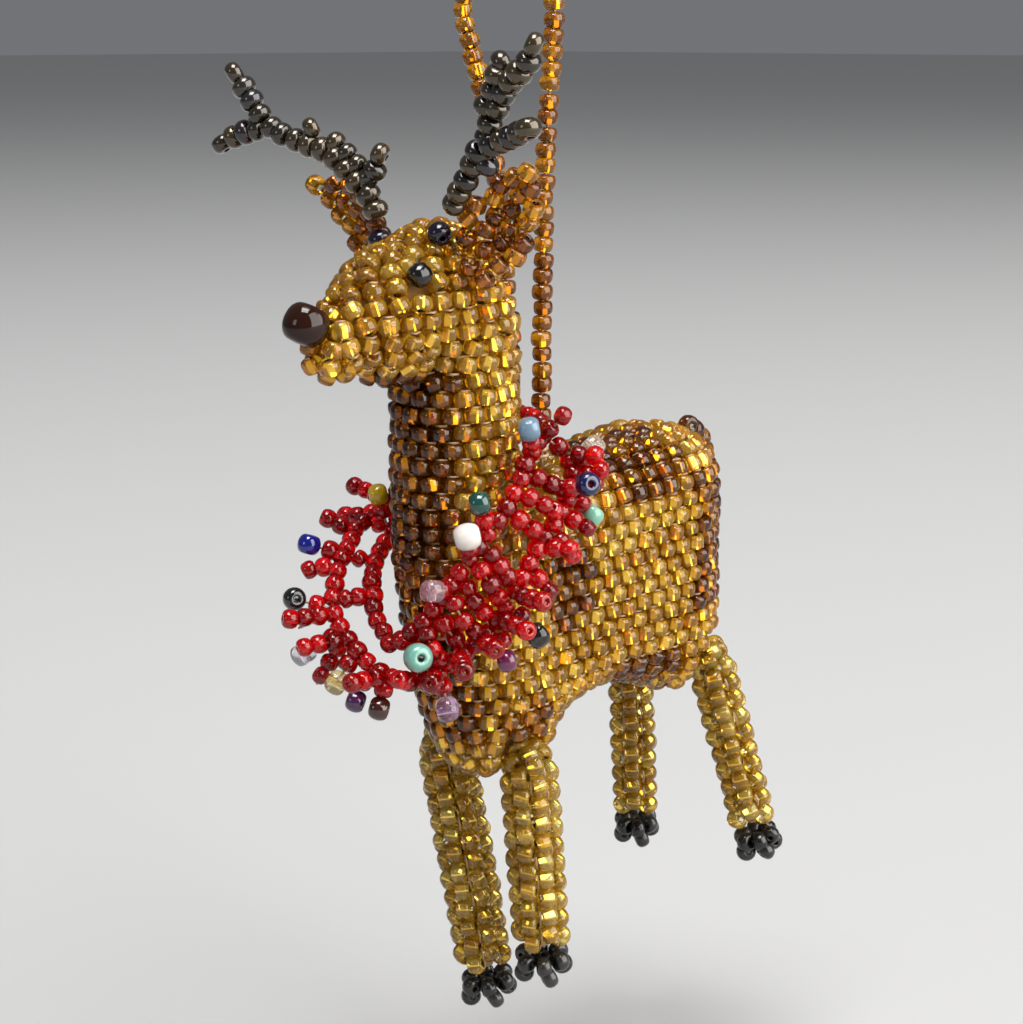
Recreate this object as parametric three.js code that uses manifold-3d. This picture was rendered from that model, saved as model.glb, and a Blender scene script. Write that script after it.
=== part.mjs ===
// Hand-stitched glass seed-bead reindeer that hangs from a loop of beads.
// Millimetres, +Z up. The animal faces -X, its left side is -Y.
// The origin is the point inside the top of the hanging loop, where a hook bears.
import * as THREE from 'three';
import { mergeVertices } from 'three/addons/utils/BufferGeometryUtils.js';
import Module from 'manifold-3d';

const wasm = await Module();
wasm.setup();

// ---------------------------------------------------------------- dimensions
const BEAD_D = 2.1;            // 11/0 seed bead, outer diameter
const SKIN = 2.1;              // one bead thick
const GAP = 0.32;              // running gap between neighbouring pieces
const FILL_INSET = SKIN + 0.34; // the stuffing starts just inside the bead skin
const HOOK = [10.6, 2.6, 103.6]; // where the hook bears, in the figure's own frame

// trunk: a rounded stadium in plan, higher at the rump
const TRUNK = { x1: 6.0, x2: 27.0, w1: 6.9, w2: 8.5, corner: 6.2, topAt0: 52.2, topSlope: 0.125 };
// chest and neck column: height, centre x, radius
const COLUMN = [[22.5, 5.0, 5.2], [27, 4.7, 6.0], [31, 3.1, 5.95], [38, 1.2, 6.3], [46, 0.1, 6.45], [80, 0.0, 6.45]];
const CHEST_BOTTOM = 22.8;
const SKULL = [-2.5, 0, 72.0, 6.75];
const MUZZLE = [-12.5, 0, 69.3, 4.15];
const JAW = [-8.6, 0, 67.7, 4.7];
const LIP = [-15.3, 0, 67.0, 3.1];
const BROW = [-8.2, 0, 71.2, 5.2];
const NECK_FOOT = { z: 53.2, slope: 0.5 }; // neck skin starts above this tilted plane
const NECK_HEAD_Z = 62.4;

// legs: hip centre, toe end, radius
const LEGS = {
  right_front: { hip: [4.0, 5.8, 24.3], toe: [8.4, 3.7, -4.4], r: 3.0 },
  left_front: { hip: [4.9, -5.2, 24.6], toe: [9.0, -3.5, 0.2], r: 3.0 },
  right_rear: { hip: [31.8, 5.6, 28.6], toe: [37.0, 8.8, 4.8], r: 2.6 },
  left_rear: { hip: [31.8, -6.0, 30.0], toe: [37.6, -9.0, 7.4], r: 2.6 },
};
const HOOF_BAND = 1.9;         // height of the ring of dark beads
const HOOF_PICOT = 1.05;       // radius of each dark bead that points down

// ---------------------------------------------------------------- helpers
const V = (x, y, z) => new THREE.Vector3(x, y, z);
const vec = (a) => new THREE.Vector3(a[0], a[1], a[2]);
const lerp = (a, b, t) => a + (b - a) * t;
const clamp = (x, a, b) => Math.min(Math.max(x, a), b);

function solid(geometry) {
  let g = geometry.clone();
  for (const name of Object.keys(g.attributes)) if (name !== 'position') g.deleteAttribute(name);
  g = mergeVertices(g, 1e-4);
  return new wasm.Manifold(new wasm.Mesh({
    numProp: 3,
    vertProperties: new Float32Array(g.attributes.position.array),
    triVerts: new Uint32Array(g.index.array),
  }));
}

function geometryOf(manifold) {
  const m = manifold.getMesh();
  const g = new THREE.BufferGeometry();
  g.setAttribute('position', new THREE.BufferAttribute(new Float32Array(m.vertProperties), 3));
  g.setIndex(new THREE.BufferAttribute(new Uint32Array(m.triVerts), 1));
  g.computeVertexNormals();
  return g;
}

function ball(c, r, w = 12, h = 8) {
  return new THREE.SphereGeometry(r, w, h).rotateX(Math.PI / 2).translate(c[0], c[1], c[2]);
}

function tube(points, radius, sides = 6, step = 3.2) {
  const curve = new THREE.CatmullRomCurve3(points.map(vec), false, 'centripetal');
  const shape = new THREE.Shape();
  for (let i = 0; i < sides; i++) {
    const a = (2 * Math.PI * i) / sides;
    const x = radius * Math.cos(a), y = radius * Math.sin(a);
    if (i === 0) shape.moveTo(x, y); else shape.lineTo(x, y);
  }
  shape.closePath();
  const steps = Math.max(1, Math.round(curve.getLength() / step));
  return new THREE.ExtrudeGeometry(shape, { steps, extrudePath: curve, bevelEnabled: false, curveSegments: 1 });
}

function joinAll(list) {
  let out = solid(list[0]);
  for (const g of list.slice(1)) out = out.add(solid(g));
  return out;
}

function mesh(name, geometry, color, roughness, metalness) {
  const m = new THREE.Mesh(geometry, new THREE.MeshStandardMaterial({ color, roughness, metalness }));
  m.name = name;
  return m;
}

// ---------------------------------------------------------------- body form
// Each function is close to a signed distance in millimetres, negative inside.
function smoothMin(a, b, k) {
  const h = Math.max(k - Math.abs(a - b), 0) / k;
  return Math.min(a, b) - h * h * k * 0.25;
}
function columnAt(z) {
  if (z <= COLUMN[0][0]) return [COLUMN[0][1], COLUMN[0][2]];
  for (let i = 1; i < COLUMN.length; i++) {
    if (z <= COLUMN[i][0]) {
      let t = (z - COLUMN[i - 1][0]) / (COLUMN[i][0] - COLUMN[i - 1][0]);
      return [lerp(COLUMN[i - 1][1], COLUMN[i][1], t), lerp(COLUMN[i - 1][2], COLUMN[i][2], t)];
    }
  }
  return [0, COLUMN[COLUMN.length - 1][2]];
}
function roundedPair(a, b, r) {
  const p = a + r, q = b + r;
  return Math.min(Math.max(p, q), 0) + Math.hypot(Math.max(p, 0), Math.max(q, 0)) - r;
}
function trunkField(x, y, z) {
  const xs = clamp(x, TRUNK.x1, TRUNK.x2);
  const w = lerp(TRUNK.w1, TRUNK.w2, (xs - TRUNK.x1) / (TRUNK.x2 - TRUNK.x1));
  const top = TRUNK.topAt0 + TRUNK.topSlope * xs;
  const bot = Math.max(29.2 - 3.4 * ((xs - 18) / 10.5) ** 2, 25.9);
  const zc = (top + bot) / 2, h = (top - bot) / 2;
  return roundedPair(Math.hypot(x - xs, y) - w, Math.abs(z - zc) - h, TRUNK.corner);
}
function columnField(x, y, z) {
  const [cx, r] = columnAt(z);
  return Math.max(roundedPair(Math.hypot(x - cx, y) - r, CHEST_BOTTOM - z, 3.0), z - 71);
}
function roundCone(x, y, z, A, B) {
  const ax = B[0] - A[0], ay = B[1] - A[1], az = B[2] - A[2];
  const px = x - A[0], py = y - A[1], pz = z - A[2];
  const t = clamp((px * ax + py * ay + pz * az) / (ax * ax + ay * ay + az * az), 0, 1);
  return Math.hypot(px - ax * t, py - ay * t, pz - az * t) - lerp(A[3], B[3], t);
}
function headField(x, y, z) {
  const bulge = (b) => Math.hypot(x - b[0], y - b[1], z - b[2]) - b[3];
  return smoothMin(smoothMin(smoothMin(roundCone(x, y, z, SKULL, MUZZLE), bulge(JAW), 2.5), bulge(LIP), 2.0), bulge(BROW), 2.5);
}
function bodyField(x, y, z) {
  const low = smoothMin(trunkField(x, y, z), columnField(x, y, z), 4.5);
  return smoothMin(low, headField(x, y, z), 2.5);
}

// the point on a ray where the body is `inset` deep
function onBody(origin, dir, inset, field = bodyField) {
  const reach = 60;
  let lo = 0, hi = 0;
  for (let t = 0.5; t <= reach; t += 0.5) {
    if (field(origin[0] + dir[0] * t, origin[1] + dir[1] * t, origin[2] + dir[2] * t) > -inset) { hi = t; break; }
    lo = t;
  }
  if (hi === 0) hi = reach;
  for (let i = 0; i < 30; i++) {
    const m = (lo + hi) / 2;
    if (field(origin[0] + dir[0] * m, origin[1] + dir[1] * m, origin[2] + dir[2] * m) > -inset) hi = m; else lo = m;
  }
  return [origin[0] + dir[0] * lo, origin[1] + dir[1] * lo, origin[2] + dir[2] * lo];
}

// a sphere whose points are pushed out to the body's form
function blownSphere(centre, inset, wSeg, hSeg, field) {
  const g = new THREE.SphereGeometry(1, wSeg, hSeg).rotateX(Math.PI / 2);
  const p = g.attributes.position;
  for (let i = 0; i < p.count; i++) {
    const d = V(p.getX(i), p.getY(i), p.getZ(i)).normalize();
    const q = onBody(centre, [d.x, d.y, d.z], inset, field);
    p.setXYZ(i, q[0], q[1], q[2]);
  }
  return g;
}
// a capped tube whose points are pushed out to the neck's form
function blownColumn(zLow, zHigh, inset, wSeg, hSeg) {
  const g = new THREE.CylinderGeometry(1, 1, zHigh - zLow, wSeg, hSeg).rotateX(Math.PI / 2).translate(0, 0, (zLow + zHigh) / 2);
  const p = g.attributes.position;
  for (let i = 0; i < p.count; i++) {
    const x = p.getX(i), y = p.getY(i), r = Math.hypot(x, y);
    if (r > 0.5) {
      const rad = columnAt(p.getZ(i))[1] - inset;
      p.setXYZ(i, (x / r) * rad, (y / r) * rad, p.getZ(i));
    }
  }
  return g;
}

function slab(zMid, slope, thick) { // everything above a plane z = zMid + slope * x
  const g = new THREE.BoxGeometry(160, 80, thick).translate(0, 0, thick / 2);
  g.rotateY(-Math.atan(slope));
  g.translate(0, 0, zMid);
  return solid(g);
}

const TRUNK_EYE = [13.5, 0, 41];
const HEAD_EYE = [-5.0, 0, 70.2];
// the trunk's form stops a little above the foot of the neck, the head's a little below its end
const trunkEnd = (x, y, z) => Math.max(bodyField(x, y, z), (z - (NECK_FOOT.z + 2.4) - NECK_FOOT.slope * x) / Math.hypot(1, NECK_FOOT.slope));
const headEnd = (x, y, z) => Math.max(bodyField(x, y, z), NECK_HEAD_Z - 2.0 - z);
const aboveFoot = slab(NECK_FOOT.z - GAP / 2, NECK_FOOT.slope, 70);
const belowFoot = slab(NECK_FOOT.z + GAP / 2 - 70 * Math.sqrt(1 + NECK_FOOT.slope ** 2), NECK_FOOT.slope, 70);
const aboveHead = slab(NECK_HEAD_Z - GAP / 2, 0, 60);
const belowHead = slab(NECK_HEAD_Z + GAP / 2 - 60, 0, 60);

// the socket each leg top moves in: a ball round the hip and the sweep of the leg below it
const LEG_SWING = 12; // degrees each way, fore and aft
function hipSocket(l, clearance) {
  let s = solid(ball(l.hip, l.r + clearance + 0.05, 12, 8));
  for (const a of [-LEG_SWING - 1, 0, LEG_SWING + 1]) {
    const dir = vec(l.toe).sub(vec(l.hip)).normalize().applyAxisAngle(V(0, 1, 0), THREE.MathUtils.degToRad(a));
    const c = new THREE.CylinderGeometry(l.r + clearance + 0.05, l.r + clearance + 0.05, 9, 12, 1).translate(0, 4.5, 0);
    c.applyQuaternion(new THREE.Quaternion().setFromUnitVectors(V(0, 1, 0), dir)).translate(l.hip[0], l.hip[1], l.hip[2]);
    s = s.add(solid(c));
  }
  return s;
}
const hipSockets = Object.values(LEGS).map((l) => hipSocket(l, 0.36));
// the cavity of each skin and the stuffing in it have the same facets, one inside the other
const trunkInside = (inset) => solid(blownSphere(TRUNK_EYE, inset, 20, 14, trunkEnd));
const headInside = (inset) => solid(blownSphere(HEAD_EYE, inset, 14, 10, headEnd));
const neckInside = (inset) => solid(blownColumn(46, 67, inset, 14, 2));

// trunk skin: chest, flanks, back and belly, open where the neck joins
let trunkSkin = solid(blownSphere(TRUNK_EYE, 0, 30, 20, trunkEnd))
  .subtract(aboveFoot)
  .subtract(trunkInside(SKIN))
  .subtract(neckInside(SKIN));
for (const b of hipSockets) trunkSkin = trunkSkin.subtract(b);

// neck skin: a straight tube of stitched rings
const neckSkin = solid(blownColumn(46, 67, 0, 20, 2))
  .subtract(neckInside(SKIN))
  .subtract(trunkInside(SKIN))
  .subtract(headInside(SKIN))
  .subtract(belowFoot)
  .subtract(aboveHead);

// head skin, open where the neck joins
const EYE_R = 1.12;
const NOSE = { c: [-18.3, 0, 69.9], r: 2.15 };
const eyeCentre = (side) => onBody([-8.6, 0, 74.0], [0, side, 0], 0.35);
const EYES = { left_eye: eyeCentre(-1), right_eye: eyeCentre(1) };
const ROOT_BEAD_R = 1.15;
// the bead each antler grows from sits in the crown between the stitched rings
function rootBead(x, y) {
  const q = onBody([x, y, 72], [0, 0, 1], 0);
  return [q[0], q[1], q[2] + ROOT_BEAD_R * 0.35];
}
const ROOTS = { right_antler_root_bead: rootBead(-5.3, 4.5), left_antler_root_bead: rootBead(-5.0, -3.4) };
let headSkin = solid(blownSphere(HEAD_EYE, 0, 22, 14, headEnd))
  .subtract(belowHead)
  .subtract(headInside(SKIN))
  .subtract(neckInside(SKIN))
  .subtract(solid(ball(NOSE.c, NOSE.r + GAP, 14, 10)));
for (const c of Object.values(EYES)) headSkin = headSkin.subtract(solid(ball(c, EYE_R + GAP + 0.05, 10, 7)));
for (const c of Object.values(ROOTS)) headSkin = headSkin.subtract(solid(ball(c, ROOT_BEAD_R + GAP + 0.05, 10, 7)));

// stuffing that keeps the skins in shape, one firm core through trunk, neck and head
let filling = trunkInside(FILL_INSET).add(headInside(FILL_INSET)).add(neckInside(FILL_INSET));
for (const l of Object.values(LEGS)) filling = filling.subtract(hipSocket(l, 0.7));

// ---------------------------------------------------------------- legs
function legGroup(name, spec, color) {
  const hip = vec(spec.hip), toe = vec(spec.toe);
  const axis = toe.clone().sub(hip);
  const reach = axis.length();
  axis.normalize();
  const L = reach - HOOF_BAND - GAP - 1.3;
  const r = spec.r;
  const profile = [];
  for (let i = 0; i <= 3; i++) {
    const a = (Math.PI / 2) * (1 - i / 3);
    profile.push(new THREE.Vector2(i === 0 ? 0 : r * Math.cos(a), r * Math.sin(a)));
  }
  profile.push(new THREE.Vector2(r, -L));
  profile.push(new THREE.Vector2(r - SKIN + 0.05, -L), new THREE.Vector2(r - SKIN + 0.05, -1.6), new THREE.Vector2(0, -1.6));
  const leg = mesh(name + '_leg', geometryOf(solid(new THREE.LatheGeometry(profile.reverse(), 12))), color, 0.18, 0.25);

  const top = -(L + GAP);
  const picots = [];
  for (let i = 0; i < 4; i++) {
    const a = (Math.PI / 2) * i + 0.5;
    const rr = r - 0.95;
    picots.push(ball([0, 0, 0], HOOF_PICOT, 6, 4).translate(rr * Math.cos(a), top - HOOF_BAND - 0.25, rr * Math.sin(a)));
  }
  const band = new THREE.CylinderGeometry(r, r, HOOF_BAND, 12, 1).translate(0, top - HOOF_BAND / 2, 0);
  const hoof = mesh(name + '_hoof', geometryOf(joinAll([band, ...picots])), 0x1c1d1f, 0.25, 0.1);

  const g = new THREE.Group();
  g.add(leg, hoof);
  g.position.copy(hip);
  g.quaternion.setFromUnitVectors(V(0, -1, 0), axis);
  return g;
}

// ---------------------------------------------------------------- antlers
// single strands of dark beads; each list is one run of beads
const ANTLER_R = 1.0;
const rightAntler = [
  [[-5.5, 4.6, 78.4], [-5.8, 5.2, 80.2], [-6.3, 6.6, 81.7], [-6.7, 8.3, 83.3], [-7.2, 10.6, 84.7], [-7.7, 13.0, 85.3], [-8.5, 16.4, 86.5], [-9.1, 19.3, 89.9], [-9.5, 21.0, 92.4]],
  [[-8.5, 16.4, 86.5], [-9.0, 19.0, 86.2], [-9.5, 21.2, 85.5], [-9.9, 23.0, 84.6]],
  [[-7.2, 10.6, 84.7], [-7.4, 11.5, 86.2], [-7.5, 12.3, 87.6]],
  [[-6.2, 6.3, 81.5], [-5.7, 4.8, 82.8], [-5.6, 3.6, 85.5]],
];
const leftAntler = [
  [[-5.4, -5.2, 79.8], [-5.9, -7.4, 81.8], [-6.4, -9.7, 84.8], [-6.9, -11.9, 87.4], [-7.5, -14.7, 91.0], [-8.1, -17.4, 92.6], [-8.6, -19.4, 95.2]],
  [[-7.5, -14.7, 91.0], [-7.3, -13.9, 92.3], [-7.2, -13.3, 93.7]],
  [[-6.5, -10.3, 85.5], [-7.4, -14.4, 86.4], [-8.4, -18.7, 87.7]],
];
function antler(runs) {
  const parts = [];
  for (const run of runs) {
    parts.push(tube(run, ANTLER_R, 5, 3.0));
    parts.push(ball(run[run.length - 1], ANTLER_R, 6, 4));
  }
  return geometryOf(joinAll(parts));
}
// ---------------------------------------------------------------- ears
// a pointed leaf, cupped towards its front, with its root at the local origin
function earGeometry(length) {
  const L = length, W = 3.5;
  const s = new THREE.Shape();
  s.moveTo(1.0, -1.5);
  s.quadraticCurveTo(2.6, -W - 0.5, L * 0.55, -2.9);
  s.quadraticCurveTo(L * 0.82, -1.9, L, 0);
  s.quadraticCurveTo(L * 0.8, 2.2, L * 0.55, 3.0);
  s.quadraticCurveTo(2.6, W + 0.2, 1.0, 1.5);
  s.closePath();
  const leaf = solid(new THREE.ExtrudeGeometry(s, { depth: 8, steps: 1, bevelEnabled: false, curveSegments: 3 }).translate(0, 0, -4));
  const R = 9.5;
  const cupOuter = solid(ball([L * 0.45, 0, R - 1.0], R, 18, 12));
  const cupInner = solid(ball([L * 0.45, 0, R - 1.0], R - 1.9, 16, 10));
  return geometryOf(leaf.intersect(cupOuter).subtract(cupInner));
}
const EARS = {
  right_ear: { root: [-2.2, 6.5, 75.7], tip: [-3.0, 14.6, 81.6], facing: [-0.78, 0.5, 0.2] },
  left_ear: { root: [-2.2, -6.5, 75.7], tip: [-1.4, -12.6, 84.2], facing: [-0.78, -0.5, 0.2] },
};
function earGroup(name) {
  const { root, tip, facing } = EARS[name];
  const g = new THREE.Group();
  const along = vec(tip).sub(vec(root));
  const x = along.clone().normalize();
  const open = vec(facing);                              // the open side of the cup
  const z = open.sub(x.clone().multiplyScalar(open.dot(x))).normalize();
  const y = z.clone().cross(x).normalize();
  const m = new THREE.Matrix4().makeBasis(x, y, z);
  g.quaternion.setFromRotationMatrix(m);
  g.position.copy(vec(root));
  g.add(mesh(name, earGeometry(along.length()), 0x7a3d06, 0.2, 0.2));
  return g;
}

// ---------------------------------------------------------------- tail
const tailGeometry = geometryOf(joinAll([
  tube([[34.9, 0, 54.2], [36.7, 0, 52.6], [37.4, 0, 50.0], [37.5, 0, 47.6]], 1.15, 6, 2.6),
  ball([34.6, 0, 54.3], 1.3, 7, 5),
]));

// ---------------------------------------------------------------- garland
// a netted collar: a top strand round the neck, a lower strand over the chest,
// cross strands between them and short picots that end in odd beads
const NET_R = 0.95;
const TOP_STRAND = [
  [8.5, 0, 58.8], [6.2, -6.0, 58.4], [2.0, -8.3, 56.4], [-0.8, -8.5, 52.6], [-3.8, -7.6, 48.8], [-6.1, -5.7, 44.6], [-8.0, -3.4, 40.8],
  [-9.2, -0.8, 38.6], [-8.4, 1.8, 40.2], [-7.4, 3.8, 42.2], [-5.0, 6.4, 44.4], [-1.2, 8.0, 47.0], [3.6, 8.0, 53.4],
];
const LOW_STRAND = [
  [5.4, -6.6, 58.0], [7.8, -8.2, 54.4], [5.4, -9.9, 50.6], [2.0, -10.0, 46.8], [-0.9, -9.4, 43.0], [-3.6, -7.6, 39.6], [-5.9, -5.2, 36.9],
  [-8.4, -3.8, 35.3], [-10.2, -0.8, 36.0], [-10.9, 1.6, 37.3], [-10.8, 3.8, 38.9], [-10.8, 5.8, 41.2], [-9.2, 7.0, 43.8], [-7.0, 8.3, 45.8],
  [-2.4, 10.6, 48.0], [2.4, 9.2, 52.0],
];
const CROSS = [
  [[0.9, -8.5, 55.0], [3.6, -9.6, 53.6], [6.6, -9.4, 52.2]],
  [[-1.4, -8.4, 51.8], [0.6, -9.8, 49.8], [2.6, -10.2, 47.8]],
  [[-3.6, -7.7, 49.0], [-2.6, -9.0, 46.4], [-0.4, -9.6, 43.8]],
  [[-5.4, -6.5, 46.0], [-4.8, -7.6, 43.4], [-2.6, -8.5, 40.8]],
  [[-7.0, -4.6, 42.6], [-6.4, -6.0, 40.2], [-4.8, -6.6, 38.2]],
  [[-8.4, -2.8, 40.0], [-8.6, -3.8, 38.0], [-8.2, -4.0, 35.4]],
  [[-7.4, 3.8, 42.2], [-9.2, 5.0, 42.2], [-10.8, 5.8, 41.2]],
  [[-5.0, 6.4, 44.4], [-6.0, 7.6, 45.2], [-6.6, 8.5, 46.0]],
  [[-1.0, 8.1, 47.4], [-1.6, 9.2, 47.4], [-2.3, 10.5, 48.0]],
];
// picots: foot, tip, accent bead name, its colour and its radius
const PICOTS = [
  [[2.4, -8.2, 56.6], [0.8, -9.3, 59.2], 'pale_blue', 0x8fa9bd, 1.2],
  [[7.8, -8.2, 54.4], [11.0, -8.0, 56.0], 'clear_rear', 0xcfc8bd, 1.2],
  [[4.6, -9.6, 53.0], [6.0, -12.0, 53.6], 'navy', 0x0b1a55, 1.2],
  [[6.4, -9.4, 51.8], [8.4, -10.4, 50.0], 'mint_flat', 0x9fd0bd, 1.1],
  [[-3.2, -7.8, 49.6], [-5.2, -8.8, 52.9], 'teal', 0x1f4a41, 1.15],
  [[-1.6, 8.0, 46.8], [-2.2, 8.7, 50.8], 'yellow', 0xc9a514, 1.1],
  [[-4.6, -7.2, 47.4], [-6.8, -8.8, 50.0], 'pearl', 0xe9e2da, 1.3],
  [[-7.6, 8.4, 45.8], [-9.6, 10.6, 46.6], 'cobalt', 0x12208f, 1.15],
  [[-6.3, -5.4, 44.2], [-9.0, -6.4, 44.8], 'lilac', 0xb9a2b4, 1.2],
  [[-10.8, 5.8, 41.2], [-12.9, 9.0, 42.0], 'black', 0x101012, 1.15],
  [[-1.2, -9.3, 42.6], [-0.4, -11.6, 39.9], 'grey', 0x3a3a40, 1.25],
  [[-2.4, -8.6, 41.0], [-2.9, -10.0, 37.6], 'plum', 0x4a2044, 1.1],
  [[-10.8, 4.4, 39.4], [-13.4, 7.2, 37.0], 'clear_front', 0xb9bcc4, 1.25],
  [[-7.4, -4.4, 35.8], [-10.0, -5.4, 38.4], 'turquoise', 0x8fc0b0, 1.4],
  [[-10.8, 2.2, 37.8], [-13.0, 2.8, 34.9], 'clear_gold', 0xa89872, 1.2],
  [[-10.0, -1.2, 35.8], [-11.2, -1.2, 32.8], 'dark_brown', 0x2c130b, 1.15],
  [[-6.6, -4.8, 36.4], [-7.2, -6.4, 33.0], 'lilac_low', 0x9d84a4, 1.25],
  [[-10.7, 0.8, 36.8], [-11.6, 1.7, 33.0], 'dark_purple', 0x2a1638, 1.1],
];
const RED_TIPS = [
  [[4.2, -7.4, 57.4], [5.0, -10.6, 60.6]],
  [[7.2, -8.9, 53.0], [9.9, -10.0, 53.0]],
  [[5.0, -10.0, 50.2], [6.6, -12.4, 49.0]],
  [[3.4, -10.1, 48.6], [3.9, -12.8, 46.8]],
  [[0.8, -9.9, 45.4], [1.6, -12.2, 43.6]],
  [[-10.8, 4.0, 39.0], [-13.2, 5.6, 34.2]],
  [[-10.8, 5.4, 40.8], [-13.9, 7.3, 39.6]],
  [[1.6, 9.2, 53.2], [3.4, 11.6, 54.8]],
  [[4.8, 7.0, 55.4], [7.2, 8.8, 58.0]],
];
// strands meet on their centre lines, so a picot or cross strand starts on the nearest one
const strandCurves = [[...TOP_STRAND, TOP_STRAND[0]], [TOP_STRAND[12], TOP_STRAND[0], TOP_STRAND[1]], LOW_STRAND, ...CROSS]
  .map((pts) => new THREE.CatmullRomCurve3(pts.map(vec), false, 'centripetal').getSpacedPoints(160));
function onStrand(p, lines) {
  let best = null, bestD = Infinity;
  for (const line of lines) for (const q of line) {
    const d = q.distanceTo(vec(p));
    if (d < bestD) { bestD = d; best = q; }
  }
  return [best.x, best.y, best.z];
}
function shorten(foot, tip, back) {
  const a = vec(foot), b = vec(tip);
  const d = b.clone().sub(a);
  const len = d.length();
  const e = a.clone().addScaledVector(d, (len - back) / len);
  return [foot, [e.x, e.y, e.z]];
}
const topLines = strandCurves.slice(0, 2), lowLines = strandCurves.slice(2, 3);
const net = [];
net.push(tube([...TOP_STRAND, TOP_STRAND[0]], NET_R, 5, 3.6));
net.push(tube([TOP_STRAND[12], TOP_STRAND[0], TOP_STRAND[1]], NET_R * 1.04, 5, 4.4));
net.push(tube([onStrand(LOW_STRAND[0], topLines), ...LOW_STRAND.slice(1, -1), onStrand(LOW_STRAND[LOW_STRAND.length - 1], topLines)], NET_R * 1.02, 5, 3.6));
for (const c of CROSS) net.push(tube([onStrand(c[0], topLines), c[1], onStrand(c[2], lowLines)], NET_R * 0.97, 5, 4.0));
for (const [foot, tip, , , r] of PICOTS) net.push(tube(shorten(onStrand(foot, strandCurves), tip, r + GAP + 0.1), NET_R * 0.9, 5, 9.0));
for (const [foot, tip] of RED_TIPS) net.push(tube([onStrand(foot, strandCurves), tip], NET_R * 0.95, 5, 9.0));
const netSolid = joinAll(net);

// ---------------------------------------------------------------- hanging loop
// one strand of beads from the near side of the withers, over the hook and
// back down to the far side
const LOOP_R = BEAD_D / 2;
const LOOP = [
  [10.7, -1.3, 57.6], [10.7, -1.3, 64.0], [10.7, -1.4, 72.0], [10.7, -1.6, 81.0], [10.7, -2.2, 90.0], [10.6, -2.9, 98.6],
  [10.6, -1.7, 102.9], [10.6, 2.6, 105.2], [10.6, 7.4, 103.6], [10.6, 9.6, 98.4],
  [10.7, 7.4, 91.0], [10.8, 5.6, 84.0], [10.9, 4.4, 76.0], [10.9, 3.6, 66.0], [10.9, 3.2, 57.6],
];
const loopGeometry = tube(LOOP, LOOP_R, 8, 4.4);
// small thread eyes on the withers that the two ends of the strand are tied to
function anchor(end) {
  const q = onBody([end[0], end[1], 45], [0, 0, 1], 0);
  const top = end[2] - 0.3;
  return new THREE.CylinderGeometry(0.55, 0.8, top - q[2] - 0.3, 8, 1).rotateX(Math.PI / 2).translate(end[0], end[1], (top + q[2] + 0.3) / 2);
}

// ---------------------------------------------------------------- assembly
const figure = new THREE.Group();
const GOLD = 0xaa7300, BROWN = 0x6a3004;

figure.add(mesh('trunk_bead_skin', geometryOf(trunkSkin), GOLD, 0.2, 0.3));
figure.add(mesh('neck_bead_skin', geometryOf(neckSkin), GOLD, 0.2, 0.3));
figure.add(mesh('head_bead_skin', geometryOf(headSkin), GOLD, 0.2, 0.3));
figure.add(mesh('stuffing_core', geometryOf(filling), 0xb79a6a, 0.95, 0));
for (const [name, c] of Object.entries(EYES)) figure.add(mesh(name, ball(c, EYE_R, 9, 6), 0x0c0b0d, 0.08, 0));
figure.add(mesh('nose_bead', ball(NOSE.c, NOSE.r, 12, 8), 0x1d120e, 0.06, 0));

for (const [name, spec] of Object.entries(LEGS)) figure.add(legGroup(name, spec, 0xb98a1e));

figure.add(mesh('right_antler', antler(rightAntler), 0x2b2620, 0.22, 0.6));
figure.add(mesh('left_antler', antler(leftAntler), 0x2b2620, 0.22, 0.6));
for (const [name, c] of Object.entries(ROOTS)) figure.add(mesh(name, ball(c, ROOT_BEAD_R, 9, 6), 0x14101c, 0.1, 0));
figure.add(earGroup('right_ear'));
figure.add(earGroup('left_ear'));
figure.add(mesh('tail', tailGeometry, BROWN, 0.2, 0.2));

figure.add(mesh('garland_netting', geometryOf(netSolid), 0xb0101a, 0.12, 0.05));
for (const [, tip, name, color, r] of PICOTS) figure.add(mesh('garland_bead_' + name, ball(tip, r, 8, 5), color, 0.1, 0));

figure.add(mesh('hanging_loop', loopGeometry, 0x9c5a08, 0.18, 0.25));
figure.add(mesh('left_loop_anchor', anchor(LOOP[0]), 0xd8c4b4, 0.6, 0));
figure.add(mesh('right_loop_anchor', anchor(LOOP[LOOP.length - 1]), 0xd8c4b4, 0.6, 0));

figure.position.set(-HOOK[0], -HOOK[1], -HOOK[2]);
const root = new THREE.Group();
root.add(figure);
export default root;
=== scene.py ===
import heapq
import math

import bpy
import numpy as np
from mathutils import Matrix, Vector


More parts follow.
